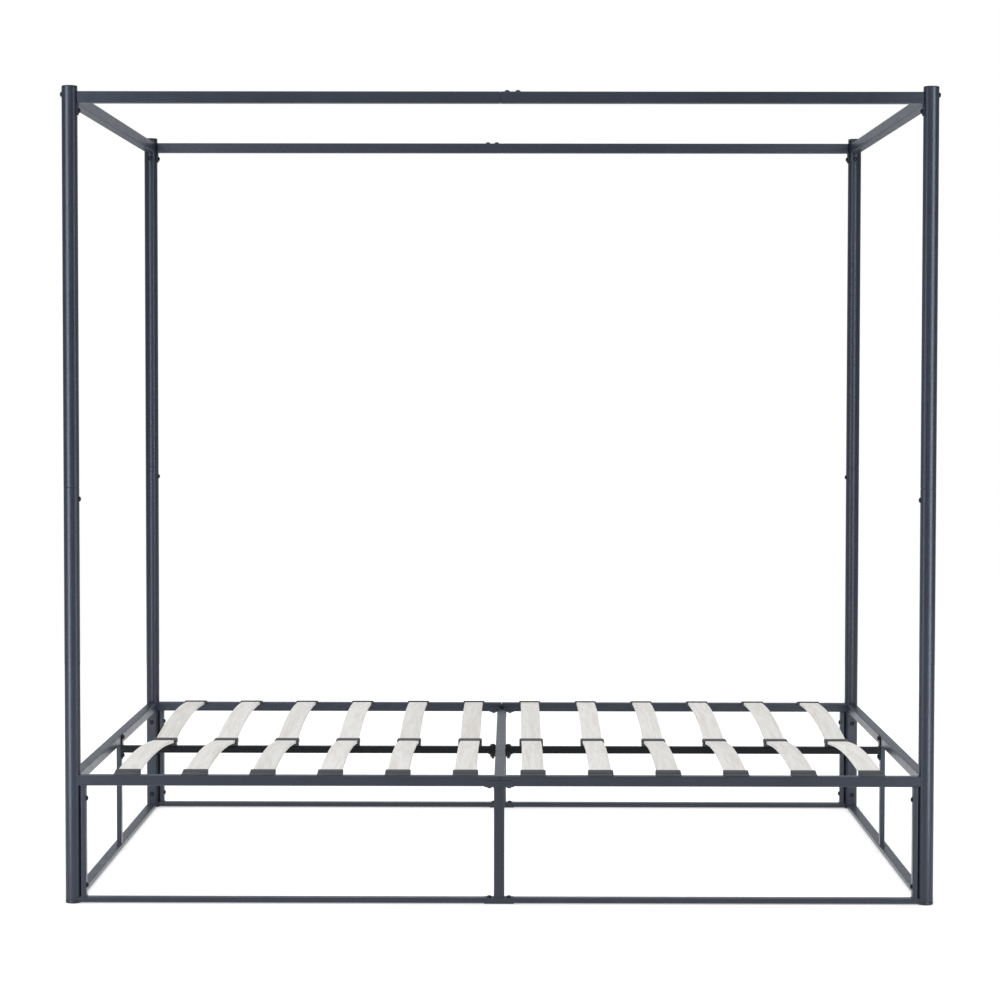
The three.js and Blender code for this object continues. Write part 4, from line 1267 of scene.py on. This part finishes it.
class BED_OT_make_slat_holders(bpy.types.Operator):
    """Set the caps on the side rails and the double holders on the centre rail"""

    bl_idname = "bed.make_slat_holders"
    bl_label = "Slat caps and holders"

    def execute(self, context):
        material = finish_named("moulded_polypropylene_holder", holder_plastic)
        columns = [SLAT_FIRST_X + i * SLAT_PITCH for i in range(SLAT_COUNT)]
        caps = []
        for x in columns:
            caps.append(((x, POST_Y, RAIL_TOP + GAP), FACING["+z"]))
            caps.append(((x, -POST_Y, RAIL_TOP + GAP), (0.0, 0.0, math.pi)))
        set_copies("slat_caps", self.cap(), caps, material)
        top = context.scene.bed_frame_sizes.centre_rail_top + GAP
        holders = [((x, 0.0, top), FACING["+z"]) for x in columns]
        set_copies("double_holders", self.holder(), holders, material)
        return {"FINISHED"}

    def cap(self):
        """The cap of a slat's outer end. Its ledge rests on the rail at z = 0, its housing hangs
        beside the rail with its mouth towards -Y, and its top slopes down to the rail."""
        bm = bmesh.new()
        half = 31 * MM
        mouth, heel = -39 * MM, -RAIL_HALF - 2 * GAP
        low, high, heel_high = -6.3 * MM, 8.6 * MM, 4.2 * MM
        add_bar(
            bm, 1, (-half, mouth, low), (half, heel, high), 3.2 * MM,
            pockets={"low": (6.1 * MM, 27.4 * MM, 24 * MM)}
        )
        for vert in bm.verts:
            along = (vert.co.y - mouth) / (heel - mouth)
            up = (vert.co.z - low) / (high - low)
            vert.co.z -= along * up * (high - heel_high)
        add_bar(bm, 1, (-half, heel - MM, 0.0), (half, RAIL_HALF - MM, 2.5 * MM), 1.1 * MM)
        return plain_mesh("slat_cap", bm)

    def holder(self):
        """The holder of two slats' inner ends, with its seat at z = 0."""
        bm = bmesh.new()
        half = 32 * MM
        pocket = (5.6 * MM, 28.4 * MM, 20 * MM)
        add_bar(
            bm, 1, (-half, -24 * MM, 5 * MM), (half, 24 * MM, 18 * MM), 3 * MM,
            pockets={"low": pocket, "high": pocket}
        )
        add_bar(bm, 1, (-half, -8 * MM, 0.0), (half, 8 * MM, 6 * MM), 1.2 * MM)
        return plain_mesh("double_holder", bm)


# The room's walls by bearing, from behind the bed round by its left, its front and its right.
WALL_STOPS = [
    (0.0, "#b4b7bd"), (0.25, "#8f9297"), (0.4, "#7c7f86"), (0.5, "#a8acb5"), (0.6, "#7c7f86"),
    (0.75, "#8f9297"), (1.0, "#b4b7bd")
]
WALL_GLOW = 1.3
CEILING_GLOW = 0.6
FLOOR_GLOW = 0.42
FLOOR_MOTTLE = 2 / 3
FRONT_BOX_SIZE = (3.0, 1.6)
FRONT_BOX_PLACE = Vector((-0.8, -3.9, 3.4))
STRIP_SIZE = (0.5, 2.6)
STRIP_REACH = 1.62
STRIP_HEIGHT = 1.15
CAMERA_LENS = 103.35
CAMERA_SENSOR = 36.0
CAMERA_PLACE = (0.0334, -7.7277, 1.2881)
CAMERA_TURN = (math.pi / 2 - 0.0437, -0.00136, 0.00472)
OVERHEAD_STRENGTH = 0.95
FRONT_POWER = 34.0
STRIP_POWER = 36.0
BOX_TINT = "#e6eeff"


class BED_OT_make_stage(bpy.types.Operator):
    """Lay the floor, light it softly and aim the camera"""

    bl_idname = "bed.make_stage"
    bl_label = "Floor, light and camera"

    def execute(self, context):
        self.lay_floor(context)
        self.light_room(context)
        self.aim_camera(context)
        context.scene.view_settings.view_transform = "Standard"
        return {"FINISHED"}

    def lay_floor(self, context):
        bm = bmesh.new()
        bmesh.ops.create_grid(bm, x_segments=8, y_segments=8, size=5.0)
        mesh = bpy.data.meshes.new("floor")
        bm.to_mesh(mesh)
        bm.free()
        floor = link_object("floor", mesh)
        values = {"Roughness": 0.9, "Emission Color": linear("#ffffff"), "Emission Strength": FLOOR_GLOW}
        material, tree, shader, place = start_material("matt_floor_paint", values)
        lift = mottle(tree, place, FLOOR_MOTTLE, 2.0, 0.98, 1.0)[1]
        colour = linear(context.scene.bed_colours.floor)
        tint = add_node(tree, "ShaderNodeHueSaturation", {"Color": colour, "Value": lift})
        feed(tree, shader, {"Base Color": tint})
        mesh.materials.append(material)

    def light_room(self, context):
        """A dim room with a bright ceiling, a lamp overhead and soft boxes round the front."""
        world = bpy.data.worlds.new("studio")
        context.scene.world = world
        world.use_nodes = True
        tree = world.node_tree
        tree.nodes.clear()
        way = add_node(tree, "ShaderNodeTexCoord").outputs["Generated"]
        parts = add_node(tree, "ShaderNodeSeparateXYZ", {"Vector": way})
        ahead = add_node(tree, "ShaderNodeMath", {0: parts.outputs["Y"], 1: -1.0}, operation="MULTIPLY")
        round_room = add_node(
            tree, "ShaderNodeMath", {0: parts.outputs["X"], 1: ahead}, operation="ARCTAN2"
        )
        bearing = add_node(
            tree, "ShaderNodeMapRange", {"From Min": -math.pi, "From Max": math.pi, "Value": round_room}
        )
        walls = add_node(tree, "ShaderNodeValToRGB", {"Fac": bearing})
        set_ramp(walls, WALL_STOPS)
        glow = add_node(tree, "ShaderNodeVectorMath", {"Scale": WALL_GLOW, 0: walls}, operation="SCALE")
        above = add_node(
            tree, "ShaderNodeMapRange", {"From Min": 0.08, "From Max": 0.6, "Value": parts.outputs["Z"]},
            interpolation_type="SMOOTHSTEP"
        )
        upper = add_node(
            tree, "ShaderNodeMix",
            {0: above, 6: glow, 7: [channel * CEILING_GLOW for channel in linear("#f4f6fa")]},
            data_type="RGBA"
        )
        below = add_node(
            tree, "ShaderNodeMapRange",
            {"From Min": -0.02, "From Max": -0.3, "Value": parts.outputs["Z"]},
            interpolation_type="SMOOTHSTEP"
        )
        room = add_node(
            tree, "ShaderNodeMix", {0: below, 6: upper.outputs[2], 7: linear("#5a5c60")}, data_type="RGBA"
        )
        ray = add_node(tree, "ShaderNodeLightPath").outputs["Is Camera Ray"]
        seen = add_node(
            tree, "ShaderNodeMix", {0: ray, 6: room.outputs[2], 7: linear("#ffffff")}, data_type="RGBA"
        )
        sky = add_node(tree, "ShaderNodeBackground", {"Color": seen.outputs[2]})
        add_node(tree, "ShaderNodeOutputWorld", {"Surface": sky})

        overhead = bpy.data.lights.new("overhead", "SUN")
        overhead.energy = OVERHEAD_STRENGTH
        overhead.angle = math.radians(50)
        lamp = bpy.data.objects.new("overhead", overhead)
        lamp.rotation_euler = (math.radians(10), math.radians(-8), 0.0)
        context.scene.collection.objects.link(lamp)

        target = Vector((0.0, -POST_Y, CANOPY_TOP - 0.4))
        self.hang_box(context, "front_soft_box", FRONT_BOX_SIZE, FRONT_POWER, FRONT_BOX_PLACE, target)
        for name, sign in (("left_strip", -1), ("right_strip", 1)):
            place = Vector((sign * STRIP_REACH, -STRIP_REACH, STRIP_HEIGHT))
            target = Vector((sign * POST_X, -POST_Y, STRIP_HEIGHT))
            strip = self.hang_box(context, name, STRIP_SIZE, STRIP_POWER, place, target)
            strip.visible_diffuse = False

    def hang_box(self, context, name, size, power, place, target):
        """A soft box that shines from place towards target, out of the camera's sight."""
        light = bpy.data.lights.new(name, "AREA")
        light.shape = "RECTANGLE"
        light.size, light.size_y = size
        light.energy = power
        light.color = linear(BOX_TINT)[:3]
        lamp = bpy.data.objects.new(name, light)
        lamp.location = place
        lamp.rotation_euler = (target - place).to_track_quat("-Z", "Y").to_euler()
        lamp.visible_camera = False
        context.scene.collection.objects.link(lamp)
        return lamp

    def aim_camera(self, context):
        data = bpy.data.cameras.new("camera")
        data.lens = CAMERA_LENS
        data.sensor_width = CAMERA_SENSOR
        camera = bpy.data.objects.new("camera", data)
        camera.location = CAMERA_PLACE
        camera.rotation_euler = CAMERA_TURN
        context.scene.collection.objects.link(camera)
        context.scene.camera = camera


PIECES = (
    BED_OT_make_posts, BED_OT_make_plugs, BED_OT_make_canopy, BED_OT_make_side_frames,
    BED_OT_make_end_frames, BED_OT_make_centre_legs, BED_OT_make_centre_rails, BED_OT_make_welds,
    BED_OT_make_bolts, BED_OT_make_slats, BED_OT_make_slat_holders, BED_OT_make_stage
)
SETTINGS = {
    "bed_frame_sizes": BedFrameSizes, "bed_slat_sizes": BedSlatSizes,
    "bed_fastener_sizes": BedFastenerSizes, "bed_colours": BedColours
}


class BED_PT_panel(bpy.types.Panel):
    """The bed's settings and pieces"""

    bl_idname = "BED_PT_panel"
    bl_label = "Canopy bed"
    bl_space_type = "VIEW_3D"
    bl_region_type = "UI"
    bl_category = "Bed"

    def draw(self, context):
        for key in SETTINGS:
            group = getattr(context.scene, key)
            column = self.layout.box().column()
            for name in group.__annotations__:
                column.prop(group, name)
        column = self.layout.column(align=True)
        for piece in PIECES:
            column.operator(piece.bl_idname)


def register():
    for group in SETTINGS.values():
        bpy.utils.register_class(group)
    for key, group in SETTINGS.items():
        setattr(bpy.types.Scene, key, bpy.props.PointerProperty(type=group))
    for piece in PIECES:
        bpy.utils.register_class(piece)
    bpy.utils.register_class(BED_PT_panel)


def unregister():
    bpy.utils.unregister_class(BED_PT_panel)
    for piece in reversed(PIECES):
        bpy.utils.unregister_class(piece)
    for key, group in SETTINGS.items():
        delattr(bpy.types.Scene, key)
        bpy.utils.unregister_class(group)


def main():
    register()
    bpy.ops.bed.make_posts()
    bpy.ops.bed.make_plugs()
    bpy.ops.bed.make_canopy()
    bpy.ops.bed.make_side_frames()
    bpy.ops.bed.make_end_frames()
    bpy.ops.bed.make_centre_legs()
    bpy.ops.bed.make_centre_rails()
    bpy.ops.bed.make_welds()
    bpy.ops.bed.make_bolts()
    bpy.ops.bed.make_slats()
    bpy.ops.bed.make_slat_holders()
    bpy.ops.bed.make_stage()


if __name__ == "__main__":
    main()
